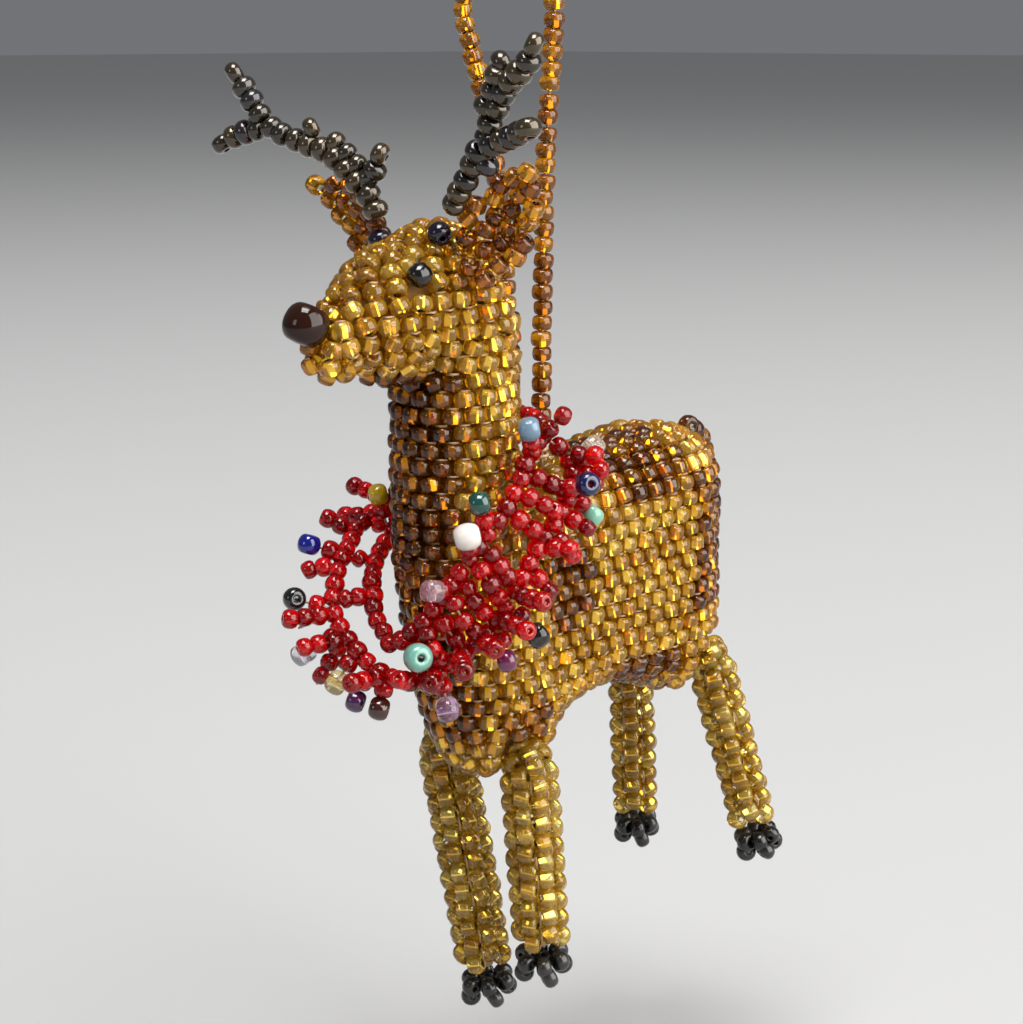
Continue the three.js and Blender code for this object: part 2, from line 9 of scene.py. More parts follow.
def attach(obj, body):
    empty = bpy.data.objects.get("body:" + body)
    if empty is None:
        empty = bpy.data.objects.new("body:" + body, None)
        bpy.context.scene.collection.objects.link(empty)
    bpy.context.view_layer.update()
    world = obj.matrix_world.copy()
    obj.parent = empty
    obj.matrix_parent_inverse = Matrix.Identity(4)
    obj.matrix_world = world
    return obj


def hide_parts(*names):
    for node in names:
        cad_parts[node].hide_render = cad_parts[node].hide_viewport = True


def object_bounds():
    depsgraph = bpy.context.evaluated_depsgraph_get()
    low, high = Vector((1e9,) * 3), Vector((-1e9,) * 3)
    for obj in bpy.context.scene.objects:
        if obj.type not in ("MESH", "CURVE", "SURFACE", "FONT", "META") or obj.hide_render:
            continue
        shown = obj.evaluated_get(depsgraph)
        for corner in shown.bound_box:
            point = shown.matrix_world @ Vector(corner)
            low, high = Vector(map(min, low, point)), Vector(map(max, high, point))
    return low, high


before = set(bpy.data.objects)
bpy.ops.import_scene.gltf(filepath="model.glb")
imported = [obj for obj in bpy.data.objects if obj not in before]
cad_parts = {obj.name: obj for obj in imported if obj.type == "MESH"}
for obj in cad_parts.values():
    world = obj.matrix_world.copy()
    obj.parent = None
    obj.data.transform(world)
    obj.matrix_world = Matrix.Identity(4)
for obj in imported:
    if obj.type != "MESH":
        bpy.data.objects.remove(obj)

CAD_BOX = [[float(x) for x in c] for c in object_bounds()]
RNG = np.random.default_rng(53)

# ------------------------------------------------------------------ dimensions
# millimetres, in the figure's own frame; HOOK is the row's origin
HOOK = np.array([10.6, 2.6, 103.6])
BEAD_R = 1.04          # seed bead, outer radius
ROW = 1.62             # one stitched row to the next
PITCH = 2.16           # one bead to the next along a row
TILT = 0.05            # rows climb a little towards the rump
TRUNK = dict(x1=6.0, x2=27.0, w1=6.9, w2=8.5, corner=6.2, top0=52.2, slope=0.125)
COLUMN = [[22.5, 5.0, 5.2], [27, 4.7, 6.0], [31, 3.1, 5.95], [38, 1.2, 6.3], [46, 0.1, 6.45], [80, 0.0, 6.45]]
CHEST_BOTTOM = 22.8
SKULL, MUZZLE = [-2.5, 0, 72.0, 6.75], [-12.5, 0, 69.3, 4.15]
BULGES = [([-8.6, 0, 67.7, 4.7], 2.5), ([-15.3, 0, 67.0, 3.1], 2.0), ([-8.2, 0, 71.2, 5.2], 2.5)]
NECK_FOOT_Z, NECK_FOOT_SLOPE, NECK_HEAD_Z = 53.2, 0.5, 62.4
LEGS = {
    "right_front": ((4.0, 5.8, 24.3), (8.4, 3.7, -4.4), 3.0),
    "left_front": ((4.9, -5.2, 24.6), (9.0, -3.5, 0.2), 3.0),
    "right_rear": ((31.8, 5.6, 28.6), (37.0, 8.8, 4.8), 2.6),
    "left_rear": ((31.8, -6.0, 30.0), (37.6, -9.0, 7.4), 2.6),
}
LOOP = [
    [10.7, -1.3, 57.6], [10.7, -1.3, 64.0], [10.7, -1.4, 72.0], [10.7, -1.6, 81.0], [10.7, -2.2, 90.0], [10.6, -2.9, 98.6],
    [10.6, -1.7, 102.9], [10.6, 2.6, 105.2], [10.6, 7.4, 103.6], [10.6, 9.6, 98.4],
    [10.7, 7.4, 91.0], [10.8, 5.6, 84.0], [10.9, 4.4, 76.0], [10.9, 3.6, 66.0], [10.9, 3.2, 57.6],
]
RIGHT_ANTLER = [
    [[-5.5, 4.6, 78.4], [-5.8, 5.2, 80.2], [-6.3, 6.6, 81.7], [-6.7, 8.3, 83.3], [-7.2, 10.6, 84.7], [-7.7, 13.0, 85.3], [-8.5, 16.4, 86.5], [-9.1, 19.3, 89.9], [-9.5, 21.0, 92.4]],
    [[-8.5, 16.4, 86.5], [-9.0, 19.0, 86.2], [-9.5, 21.2, 85.5], [-9.9, 23.0, 84.6]],
    [[-7.2, 10.6, 84.7], [-7.4, 11.5, 86.2], [-7.5, 12.3, 87.6]],
    [[-6.2, 6.3, 81.5], [-5.7, 4.8, 82.8], [-5.6, 3.6, 85.5]],
]
LEFT_ANTLER = [
    [[-5.4, -5.2, 79.8], [-5.9, -7.4, 81.8], [-6.4, -9.7, 84.8], [-6.9, -11.9, 87.4], [-7.5, -14.7, 91.0], [-8.1, -17.4, 92.6], [-8.6, -19.4, 95.2]],
    [[-7.5, -14.7, 91.0], [-7.3, -13.9, 92.3], [-7.2, -13.3, 93.7]],
    [[-6.5, -10.3, 85.5], [-7.4, -14.4, 86.4], [-8.4, -18.7, 87.7]],
]
EARS = {
    "right_ear": ([-2.2, 6.5, 75.7], [-3.0, 14.6, 81.6], [-0.78, 0.5, 0.2]),
    "left_ear": ([-2.2, -6.5, 75.7], [-1.4, -12.6, 84.2], [-0.78, -0.5, 0.2]),
}
TAIL = [[34.9, 0, 54.2], [36.7, 0, 52.6], [37.4, 0, 50.0], [37.5, 0, 47.6]]
TOP_STRAND = [
    [8.5, 0, 58.8], [6.2, -6.0, 58.4], [2.0, -8.3, 56.4], [-0.8, -8.5, 52.6], [-3.8, -7.6, 48.8], [-6.1, -5.7, 44.6], [-8.0, -3.4, 40.8],
    [-9.2, -0.8, 38.6], [-8.4, 1.8, 40.2], [-7.4, 3.8, 42.2], [-5.0, 6.4, 44.4], [-1.2, 8.0, 47.0], [3.6, 8.0, 53.4],
]
LOW_STRAND = [
    [5.4, -6.6, 58.0], [7.8, -8.2, 54.4], [4.6, -9.9, 50.9], [0.9, -9.9, 47.3], [-1.6, -9.4, 43.4], [-3.6, -7.7, 39.7], [-5.9, -5.2, 36.9],
    [-8.4, -3.8, 35.3], [-10.2, -0.8, 36.0], [-10.9, 1.6, 37.3], [-10.8, 3.8, 38.9], [-10.8, 5.8, 41.2], [-9.2, 7.0, 43.8], [-7.0, 8.3, 45.8],
    [-2.4, 10.6, 48.0], [2.4, 9.2, 52.0],
]
CROSS = [
    [[0.9, -8.5, 55.0], [3.6, -9.6, 53.6], [6.6, -9.4, 52.2]],
    [[-1.4, -8.4, 51.8], [0.6, -9.8, 49.8], [2.6, -10.2, 47.8]],
    [[-3.6, -7.7, 49.0], [-2.6, -9.0, 46.4], [-0.4, -9.6, 43.8]],
    [[-5.4, -6.5, 46.0], [-4.8, -7.6, 43.4], [-2.6, -8.5, 40.8]],
    [[-7.0, -4.6, 42.6], [-6.4, -6.0, 40.2], [-4.8, -6.6, 38.2]],
    [[-8.4, -2.8, 40.0], [-8.6, -3.8, 38.0], [-8.2, -4.0, 35.4]],
    [[-7.4, 3.8, 42.2], [-9.2, 5.0, 42.2], [-10.8, 5.8, 41.2]],
    [[-5.0, 6.4, 44.4], [-6.0, 7.6, 45.2], [-6.6, 8.5, 46.0]],
    [[-1.0, 8.1, 47.4], [-1.6, 9.2, 47.4], [-2.3, 10.5, 48.0]],
]
# foot, tip, accent bead, radius, which way its hole points (0 along the picot, 1 across it)
PICOTS = [
    ([2.4, -8.2, 56.6], [0.8, -9.3, 59.2], "pale_blue", 1.2, 1),
    ([7.8, -8.2, 54.4], [11.0, -8.0, 56.0], "clear_rear", 1.2, 1),
    ([4.6, -9.6, 53.0], [6.0, -12.0, 53.6], "navy", 1.2, 2),
    ([6.4, -9.4, 51.8], [8.4, -10.4, 50.0], "mint_flat", 1.1, 1),
    ([-3.2, -7.8, 49.6], [-5.2, -8.8, 52.9], "teal", 1.15, 1),
    ([-1.6, 8.0, 46.8], [-2.2, 8.7, 50.8], "yellow", 1.1, 1),
    ([-4.6, -7.2, 47.4], [-6.8, -8.8, 50.0], "pearl", 1.3, 1),
    ([-7.6, 8.4, 45.8], [-9.6, 10.6, 46.6], "cobalt", 1.15, 1),
    ([-6.3, -5.4, 44.2], [-9.0, -6.4, 44.8], "lilac", 1.2, 1),
    ([-10.8, 5.8, 41.2], [-12.9, 9.0, 42.0], "black", 1.15, 2),
    ([-1.2, -9.3, 42.6], [-0.4, -11.6, 39.9], "grey", 1.25, 1),
    ([-2.4, -8.6, 41.0], [-2.9, -10.0, 37.6], "plum", 1.1, 1),
    ([-10.8, 4.4, 39.4], [-13.4, 7.2, 37.0], "clear_front", 1.25, 1),
    ([-7.4, -4.4, 35.8], [-10.0, -5.4, 38.4], "turquoise", 1.4, 2),
    ([-10.8, 2.2, 37.8], [-13.0, 2.8, 34.9], "clear_gold", 1.2, 1),
    ([-10.0, -1.2, 35.8], [-11.2, -1.2, 32.8], "dark_brown", 1.15, 1),
    ([-6.6, -4.8, 36.4], [-7.2, -6.4, 33.0], "lilac_low", 1.25, 1),
    ([-10.7, 0.8, 36.8], [-11.6, 1.7, 33.0], "dark_purple", 1.1, 1),
]
RED_TIPS = [
    ([4.2, -7.4, 57.4], [5.0, -10.6, 60.6]), ([7.2, -8.9, 53.0], [9.9, -10.0, 53.0]), ([5.0, -10.0, 50.2], [6.6, -12.4, 49.0]),
    ([3.4, -10.1, 48.6], [3.9, -12.8, 46.8]), ([0.8, -9.9, 45.4], [1.6, -12.2, 43.6]), ([-10.8, 4.0, 39.0], [-13.2, 5.6, 34.2]),
    ([-10.8, 5.4, 40.8], [-13.9, 7.3, 39.6]), ([1.6, 9.2, 53.2], [3.4, 11.6, 54.8]), ([4.8, 7.0, 55.4], [7.2, 8.8, 58.0]),
]
ACCENTS = {  # colour, kind
    "pale_blue": ((0.15, 0.24, 0.33), "opal"), "clear_rear": ((0.92, 0.88, 0.84), "clear"), "navy": ((0.002, 0.005, 0.045), "opaque"),
    "mint_flat": ((0.16, 0.36, 0.26), "opaque"), "teal": ((0.005, 0.042, 0.034), "opaque"), "yellow": ((0.50, 0.32, 0.006), "opaque"),
    "pearl": ((0.58, 0.54, 0.50), "pearl"), "cobalt": ((0.003, 0.006, 0.15), "opaque"), "lilac": ((0.80, 0.58, 0.66), "clear"),
    "black": ((0.004, 0.005, 0.005), "opaque"), "grey": ((0.055, 0.055, 0.06), "clear"), "plum": ((0.10, 0.01, 0.05), "opaque"),
    "clear_front": ((0.86, 0.86, 0.92), "clear"), "turquoise": ((0.12, 0.29, 0.235), "pearl"), "clear_gold": ((0.80, 0.66, 0.34), "clear"),
    "dark_brown": ((0.030, 0.006, 0.003), "opaque"), "lilac_low": ((0.62, 0.42, 0.62), "clear"), "dark_purple": ((0.04, 0.008, 0.05), "opaque"),
}
NOSE = ((-18.3, 0.0, 69.9), 2.15)
LOOP_END_Z = 57.6


def row(p):
    """a point of the figure, in metres in the row's frame"""
    return (np.asarray(p, float) - HOOK) * 0.001


# ------------------------------------------------------------------ camera
BACK = np.array([-0.6917, -0.6917, 0.2079]); BACK /= np.linalg.norm(BACK)
RIGHT = np.array([math.sqrt(0.5), -math.sqrt(0.5), 0.0])
UP = np.cross(BACK, RIGHT)
cam_data = bpy.data.cameras.new("camera")
cam_data.lens, cam_data.sensor_width = 79.664, 36.0
cam_data.clip_start, cam_data.clip_end = 0.01, 20.0
camera = bpy.data.objects.new("camera", cam_data)
bpy.context.collection.objects.link(camera)
camera.matrix_world = Matrix((
    (RIGHT[0], UP[0], BACK[0], -0.158885), (RIGHT[1], UP[1], BACK[1], -0.158643), (RIGHT[2], UP[2], BACK[2], -0.007859), (0, 0, 0, 1)))
bpy.context.scene.camera = camera


# ------------------------------------------------------------------ the body's form
def lerp(a, b, t):
    return a + (b - a) * t


def smooth_min(a, b, k):
    h = np.maximum(k - np.abs(a - b), 0) / k
    return np.minimum(a, b) - h * h * k * 0.25


def rounded_pair(a, b, r):
    p, q = a + r, b + r
    return np.minimum(np.maximum(p, q), 0) + np.hypot(np.maximum(p, 0), np.maximum(q, 0)) - r


def trunk_field(P):
    x, y, z = P[..., 0], P[..., 1], P[..., 2]
    xs = np.clip(x, TRUNK["x1"], TRUNK["x2"])
    w = lerp(TRUNK["w1"], TRUNK["w2"], (xs - TRUNK["x1"]) / (TRUNK["x2"] - TRUNK["x1"]))
    top = TRUNK["top0"] + TRUNK["slope"] * xs
    bot = np.maximum(29.2 - 3.4 * ((xs - 18) / 10.5) ** 2, 25.9)
    zc, h = (top + bot) / 2, (top - bot) / 2
    return rounded_pair(np.hypot(x - xs, y) - w, np.abs(z - zc) - h, TRUNK["corner"])


def column_at(z):
    C = np.array(COLUMN)
    return np.interp(z, C[:, 0], C[:, 1]), np.interp(z, C[:, 0], C[:, 2])


def column_field(P):
    cx, r = column_at(P[..., 2])
    return np.maximum(rounded_pair(np.hypot(P[..., 0] - cx, P[..., 1]) - r, CHEST_BOTTOM - P[..., 2], 3.0), P[..., 2] - 71)


def head_field(P):
    A, B = np.array(SKULL), np.array(MUZZLE)
    a = B[:3] - A[:3]
    q = P - A[:3]
    t = np.clip((q @ a) / (a @ a), 0, 1)
    d = np.linalg.norm(q - t[..., None] * a, axis=-1) - lerp(A[3], B[3], t)
    for b, k in BULGES:
        d = smooth_min(d, np.linalg.norm(P - np.array(b[:3]), axis=-1) - b[3], k)
    return d


def body_field(P):
    return smooth_min(smooth_min(trunk_field(P), column_field(P), 4.5), head_field(P), 2.5)


def gradient(field, P, e=0.02):
    g = np.stack([field(P + np.eye(3)[k] * e) - field(P - np.eye(3)[k] * e) for k in range(3)], -1)
    return g / (np.linalg.norm(g, axis=-1, keepdims=True) + 1e-12)


def shell(centre, D, inset, field, reach=60.0):
    """the point on each ray where the form is inset deep"""
    C = np.asarray(centre, float)
    lo = np.zeros(len(D)); hi = np.full(len(D), reach); open_ = np.ones(len(D), bool)
    for t in np.arange(0.5, reach, 0.5):
        out = field(C + D * t) > -inset
        hit = open_ & out
        hi[hit] = t; open_ &= ~out
        lo[open_] = t
        if not open_.any():
            break
    for _ in range(24):
        m = (lo + hi) / 2
        out = field(C + D * m[:, None]) > -inset
        hi = np.where(out, m, hi); lo = np.where(out, lo, m)
    return C + D * lo[:, None]


# ------------------------------------------------------------------ rows of beads over a closed form
def bead_rows(centre, field, inset, levels, cap=0.34, nth=110, nph=168, tilt=TILT):
    """Closed or open lines over the form, one for each level: level lines of height on the steep walls, and lines a row apart over the top and underside."""
    th = (np.arange(nth) + 0.5) / nth * np.pi
    ph = np.arange(nph) / nph * 2 * np.pi
    T, F = np.meshgrid(th, ph, indexing="ij")
    D = np.stack([np.sin(T) * np.cos(F), np.sin(T) * np.sin(F), np.cos(T)], -1).reshape(-1, 3)
    P = shell(centre, D, inset, field)
    N = gradient(field, P)
    P3, N3 = P.reshape(nth, nph, 3), N.reshape(nth, nph, 3)
    base = P3[..., 2] - tilt * P3[..., 0]
    u = np.where(np.abs(N3[..., 2]) < cap, base, np.nan)
    steps = [(1, 0), (0, 1), (1, 1), (1, -1), (2, 1), (2, -1), (1, 2), (1, -2)]
    steps += [(-a, -b) for a, b in steps]
    for sign in (1, -1):  # grow over the top, then under
        want = np.isnan(u) & (N3[..., 2] * sign > 0)
        dist = np.full((nth, nph), np.inf)
        heap = []
        for j, i in zip(*np.nonzero(~np.isnan(u) & (N3[..., 2] * sign > cap - 0.3))):
            dist[j, i] = sign * u[j, i]
            heap.append((dist[j, i], j, i))
        heapq.heapify(heap)
        while heap:
            d, j, i = heapq.heappop(heap)
            if d > dist[j, i]:
                continue
            for a, b in steps:
                jj, ii = j + a, (i + b) % nph
                if 0 <= jj < nth and want[jj, ii]:
                    nd = d + float(np.linalg.norm(P3[jj, ii] - P3[j, i]))
                    if nd < dist[jj, ii] - 1e-9:
                        dist[jj, ii] = nd
                        heapq.heappush(heap, (nd, jj, ii))
        ok = want & np.isfinite(dist)
        u[ok] = sign * dist[ok]
    u = np.where(np.isnan(u), base, u)
    for _ in range(3):
        v = np.pad(u, ((1, 1), (0, 0)), mode="edge")
        u = 0.5 * u + 0.125 * (v[2:] + v[:-2] + np.roll(u, 1, 1) + np.roll(u, -1, 1))
    return {L: level_lines(u, P3, L) for L in levels}


def level_lines(u, P3, L):
    nth, nph = u.shape
    points, links = {}, {}

    def cut(a, b):
        key = (a, b) if a < b else (b, a)
        if key not in points:
            (j, i), (jj, ii) = key
            t = (L - u[j, i]) / (u[jj, ii] - u[j, i] + 1e-12)
            points[key] = P3[j, i] + (P3[jj, ii] - P3[j, i]) * min(max(t, 0.0), 1.0)
        return key

    above = u > L
    for j in range(nth - 1):
        for i in np.nonzero((above[j] != above[j + 1]) | (above[j] != np.roll(above[j], -1)) | (above[j + 1] != np.roll(above[j + 1], -1)))[0]:
            i = int(i); k = (i + 1) % nph
            c = [(j, i), (j, k), (j + 1, k), (j + 1, i)]
            s = [bool(above[q]) for q in c]
            edges = [cut(c[n], c[(n + 1) % 4]) for n in range(4) if s[n] != s[(n + 1) % 4]]
            for n in range(0, len(edges) - 1, 2):
                links.setdefault(edges[n], []).append(edges[n + 1])
                links.setdefault(edges[n + 1], []).append(edges[n])
    loops, seen = [], set()
    for start in sorted(links):
        if start in seen:
            continue
        chain, here, prev = [start], start, None
        seen.add(start)
        while True:
            nxt = [q for q in links[here] if q != prev and q not in seen]
            if not nxt:
                break
            prev, here = here, nxt[0]
            seen.add(here); chain.append(here)
        if len(chain) > 3:
            loops.append(np.array([points[q] for q in chain]))
    return loops


def along(line, closed, pitch, phase, anchor):
    """evenly spaced points on a line and the direction of the line there; they are counted from the point nearest anchor"""
    if closed:
        k = int(np.argmin(np.linalg.norm(line - anchor, axis=1)))
        line = np.roll(line, -k, axis=0)
        area = np.cross(line - line.mean(0), np.roll(line, -1, 0) - line.mean(0)).sum(0)
        if area[2] < 0:
            line = np.concatenate([line[:1], line[:0:-1]])
        line = np.vstack([line, line[:1]])
    seg = np.linalg.norm(np.diff(line, axis=0), axis=1)
    s = np.concatenate([[0], np.cumsum(seg)])
    total = s[-1]
    n = max(1, int(round(total / pitch)))
    at = (np.arange(n) + phase) / n * total
    P = np.stack([np.interp(at, s, line[:, k]) for k in range(3)], -1)
    e = min(0.6, total / 8 + 1e-3)
    A = np.stack([np.interp((at - e) % total if closed else np.maximum(at - e, 0), s, line[:, k]) for k in range(3)], -1)
    B = np.stack([np.interp((at + e) % total if closed else np.minimum(at + e, total), s, line[:, k]) for k in range(3)], -1)
    T = B - A
    return P, T / (np.linalg.norm(T, axis=1, keepdims=True) + 1e-12)


def smooth_path(points, step):
    """a centripetal curve through the points, resampled every step"""
    P = np.asarray(points, float)
    P = np.vstack([2 * P[0] - P[1], P, 2 * P[-1] - P[-2]])
    out = []
    for k in range(1, len(P) - 2):
        p0, p1, p2, p3 = P[k - 1:k + 3]
        t0 = 0.0; t1 = t0 + np.linalg.norm(p1 - p0) ** 0.5; t2 = t1 + np.linalg.norm(p2 - p1) ** 0.5; t3 = t2 + np.linalg.norm(p3 - p2) ** 0.5
        for t in np.linspace(t1, t2, 24, endpoint=False):
            a1 = (t1 - t) / (t1 - t0) * p0 + (t - t0) / (t1 - t0) * p1
            a2 = (t2 - t) / (t2 - t1) * p1 + (t - t1) / (t2 - t1) * p2
            a3 = (t3 - t) / (t3 - t2) * p2 + (t - t2) / (t3 - t2) * p3
            b1 = (t2 - t) / (t2 - t0) * a1 + (t - t0) / (t2 - t0) * a2
            b2 = (t3 - t) / (t3 - t1) * a2 + (t - t1) / (t3 - t1) * a3
            out.append((t2 - t) / (t2 - t1) * b1 + (t - t1) / (t2 - t1) * b2)
    out.append(P[-2])
    out = np.array(out)
    s = np.concatenate([[0], np.cumsum(np.linalg.norm(np.diff(out, axis=0), axis=1))])
    n = max(1, int(round(s[-1] / step)))
    at = np.linspace(0, s[-1], n + 1)
    return np.stack([np.interp(at, s, out[:, k]) for k in range(3)], -1)


# ------------------------------------------------------------------ bead meshes
def bead_shape(R=BEAD_R, half=0.74, hole=0.31, square=True, sides=16, round_=0.0):
    """one glass bead with its hole along Z: (points, quads, which quads line the hole)"""
    a = (np.arange(sides) + 0.5) / sides * 2 * np.pi
    ring = np.stack([np.cos(a), np.sin(a)], -1)
    inner = ring / np.abs(ring).max(1, keepdims=True) * hole if square else ring * hole
    prof = [(0.58 * R, half), (0.84 * R, half * 0.86), (0.965 * R, half * 0.55), (R, 0.16 * half), (R, -0.16 * half), (0.965 * R, -half * 0.55), (0.84 * R, -half * 0.86), (0.58 * R, -half)]
    if round_:
        r0 = hole + 0.10 * R
        turn = np.linspace(0.0, math.pi, 11)
        prof = [(r0 + (R - r0) * math.sin(t) ** round_, half * math.copysign(abs(math.cos(t)) ** 0.95, math.cos(t))) for t in turn]
    rings = [np.column_stack([inner, np.full(sides, half * 0.93)])]
    rings += [np.column_stack([ring * r, np.full(sides, z)]) for r, z in prof]
    rings += [np.column_stack([inner, np.full(sides, -half * 0.93)])]
    V = np.vstack(rings)
    n = len(rings)
    quads, lining = [], []
    for k in range(n):
        kk = (k + 1) % n
        for i in range(sides):
            j = (i + 1) % sides
            quads.append((k * sides + i, kk * sides + i, kk * sides + j, k * sides + j))
            lining.append(k == n - 1)
    return V, np.array(quads), np.array(lining)


def frames(axis, normal):
    """rotation whose Z is the hole's axis and whose X is near the outward normal"""
    z = axis / (np.linalg.norm(axis, axis=1, keepdims=True) + 1e-12)
    x = normal - (normal * z).sum(1, keepdims=True) * z
    bad = np.linalg.norm(x, axis=1) < 1e-6
    x[bad] = np.cross(z[bad], [0.3, 0.5, 0.8])
    x /= np.linalg.norm(x, axis=1, keepdims=True)
    return np.stack([x, np.cross(z, x), z], -1)


def jitter(M, tip=0.07, spin=0.35):
    """small random tilts, and a turn about the hole"""
    out = M.copy()
    for k in range(len(M)):
        a, b = RNG.normal(0, tip, 2)
        c = RNG.uniform(-spin, spin) + math.pi / 4
        rx = np.array(Matrix.Rotation(a, 3, "X")); ry = np.array(Matrix.Rotation(b, 3, "Y")); rz = np.array(Matrix.Rotation(c, 3, "Z"))
        out[k] = M[k] @ rx @ ry @ rz
    return out


def bead_object(name, shape, P, M, scale, tone, materials):
    V, Q, lining = shape
    n, nv, nq = len(P), len(V), len(Q)
    S = np.asarray(scale, float)
    S = S[:, None, None] if S.ndim == 1 else S[:, None, :]
    W = np.einsum("nij,nvj->nvi", M, V[None] * S) + P[:, None, :]
    verts = ((W.reshape(-1, 3) - HOOK) * 0.001).astype(np.float32)
    faces = (Q[None] + (np.arange(n) * nv)[:, None, None]).reshape(-1).astype(np.int32)
    me = bpy.data.meshes.new(name)
    me.vertices.add(n * nv); me.vertices.foreach_set("co", verts.ravel())
    me.loops.add(n * nq * 4); me.loops.foreach_set("vertex_index", faces)
    me.polygons.add(n * nq)
    me.polygons.foreach_set("loop_start", np.arange(0, n * nq * 4, 4, dtype=np.int32))
    me.update(calc_edges=True)
    me.polygons.foreach_set("material_index", np.tile(lining.astype(np.int32), n) if len(materials) > 1 else np.zeros(n * nq, np.int32))
    me.polygons.foreach_set("use_smooth", np.tile(~lining, n))
    a = me.attributes.new("tone", "FLOAT", "POINT")
    a.data.foreach_set("value", np.repeat(np.asarray(tone, np.float32), nv))
    for m in materials:
        me.materials.append(m)
    me.validate()
    me.update()
    ob = bpy.data.objects.new(name, me)
    bpy.context.collection.objects.link(ob)
    return ob


def plain_object(name, verts, faces, material, smooth=True):
    me = bpy.data.meshes.new(name)
    me.from_pydata([tuple(row(v)) for v in verts], [], [tuple(int(i) for i in f) for f in faces])
    me.materials.append(material)
    for p in me.polygons:
        p.use_smooth = smooth
    me.update()
    ob = bpy.data.objects.new(name, me)
    bpy.context.collection.objects.link(ob)
    return ob


def tubes(name, lines, radius, material, sides=6):
    """thin threads, each along its own line, with closed ends"""
    V, F = [], []
    for line in lines:
        line = np.asarray(line, float)
        T = np.gradient(line, axis=0); T /= np.linalg.norm(T, axis=1, keepdims=True) + 1e-12
        ref = np.array([0.31, 0.52, 0.79])
        base = len(V)
        for k, p in enumerate(line):
            x = np.cross(T[k], ref); x /= np.linalg.norm(x) + 1e-12; y = np.cross(T[k], x)
            for s in range(sides):
                a = 2 * math.pi * s / sides
                V.append(p + radius * (math.cos(a) * x + math.sin(a) * y))
        for k in range(len(line) - 1):
            for s in range(sides):
                t = (s + 1) % sides
                F.append((base + k * sides + s, base + k * sides + t, base + (k + 1) * sides + t, base + (k + 1) * sides + s))
        F.append(tuple(base + s for s in range(sides))[::-1])
        e = base + (len(line) - 1) * sides
        F.append(tuple(e + s for s in range(sides)))
    return plain_object(name, V, F, material)


# ------------------------------------------------------------------ materials
def node_material(name, ramp, rough=(0.02, 0.07), metallic=0.0, transmission=0.0, ior=1.5, coat=0.0, noise_scale=420.0, mix=0.16, noise_bump=0.0, spec=None, sub=0.0):
    """Glass, metal or thread: the colour follows each bead's own tone and a fine streak in the glass, and the roughness a slow wear pattern."""
    m = bpy.data.materials.new(name)
    m.use_nodes = True
    nt = m.node_tree
    b = nt.nodes["Principled BSDF"]
    b.inputs["Metallic"].default_value = metallic
    b.inputs["Transmission Weight"].default_value = transmission
    b.inputs["IOR"].default_value = ior
    b.inputs["Coat Weight"].default_value = coat
    b.inputs["Coat Roughness"].default_value = 0.03
    if spec is not None:
        b.inputs["Specular IOR Level"].default_value = spec
    if sub:
        b.inputs["Subsurface Weight"].default_value = sub
        b.inputs["Subsurface Scale"].default_value = 0.0008
    tone = nt.nodes.new("ShaderNodeAttribute"); tone.attribute_name = "tone"
    where = nt.nodes.new("ShaderNodeTexCoord")
    grain = nt.nodes.new("ShaderNodeTexNoise")
    grain.inputs["Scale"].default_value = noise_scale
    grain.inputs["Detail"].default_value = 2.0
    nt.links.new(where.outputs["Object"], grain.inputs["Vector"])
    both = nt.nodes.new("ShaderNodeMix"); both.data_type = "FLOAT"
    both.inputs[0].default_value = mix
    nt.links.new(tone.outputs["Fac"], both.inputs[2])
    nt.links.new(grain.outputs["Fac"], both.inputs[3])
    cr = nt.nodes.new("ShaderNodeValToRGB")
    els = cr.color_ramp.elements
    els[0].position, els[0].color = ramp[0][0], (*ramp[0][1], 1)
    els[1].position, els[1].color = ramp[-1][0], (*ramp[-1][1], 1)
    for pos, col in ramp[1:-1]:
        e = els.new(pos); e.color = (*col, 1)
    nt.links.new(both.outputs[0], cr.inputs["Fac"])
    nt.links.new(cr.outputs["Color"], b.inputs["Base Color"])
    mr = nt.nodes.new("ShaderNodeMapRange")
    mr.inputs["To Min"].default_value, mr.inputs["To Max"].default_value = rough
    nt.links.new(grain.outputs["Fac"], mr.inputs["Value"])
    nt.links.new(mr.outputs["Result"], b.inputs["Roughness"])
    if noise_bump:
        bump = nt.nodes.new("ShaderNodeBump")
        bump.inputs["Strength"].default_value = noise_bump
        bump.inputs["Distance"].default_value = 0.0002
        nt.links.new(grain.outputs["Fac"], bump.inputs["Height"])
        nt.links.new(bump.outputs["Normal"], b.inputs["Normal"])
    return m


def shades(c, lo=0.72, hi=1.25):
    return [(0.15, tuple(min(1.0, v * lo) for v in c)), (0.5, tuple(c)), (0.85, tuple(min(1.0, v * hi) for v in c))]


GOLD = node_material("gold_glass", [(0.1, (0.62, 0.30, 0.010)), (0.5, (0.78, 0.43, 0.024)), (0.9, (0.92, 0.60, 0.075))], transmission=0.86)
PALE = node_material("pale_gold_glass", [(0.1, (0.66, 0.38, 0.022)), (0.5, (0.79, 0.51, 0.050)), (0.9, (0.90, 0.67, 0.14))], transmission=0.84, spec=0.42)
BROWN = node_material("brown_glass", [(0.1, (0.17, 0.044, 0.0004)), (0.5, (0.33, 0.108, 0.0010)), (0.9, (0.60, 0.235, 0.004))], transmission=0.90, spec=0.26)
AMBER = node_material("amber_glass", [(0.1, (0.29, 0.085, 0.0010)), (0.5, (0.43, 0.150, 0.0022)), (0.9, (0.62, 0.26, 0.006))], transmission=0.87, spec=0.36)
EAR_GLASS = node_material("ear_glass", [(0.1, (0.22, 0.055, 0.0008)), (0.5, (0.40, 0.125, 0.0020)), (0.9, (0.74, 0.34, 0.010))], transmission=0.88, spec=0.36)
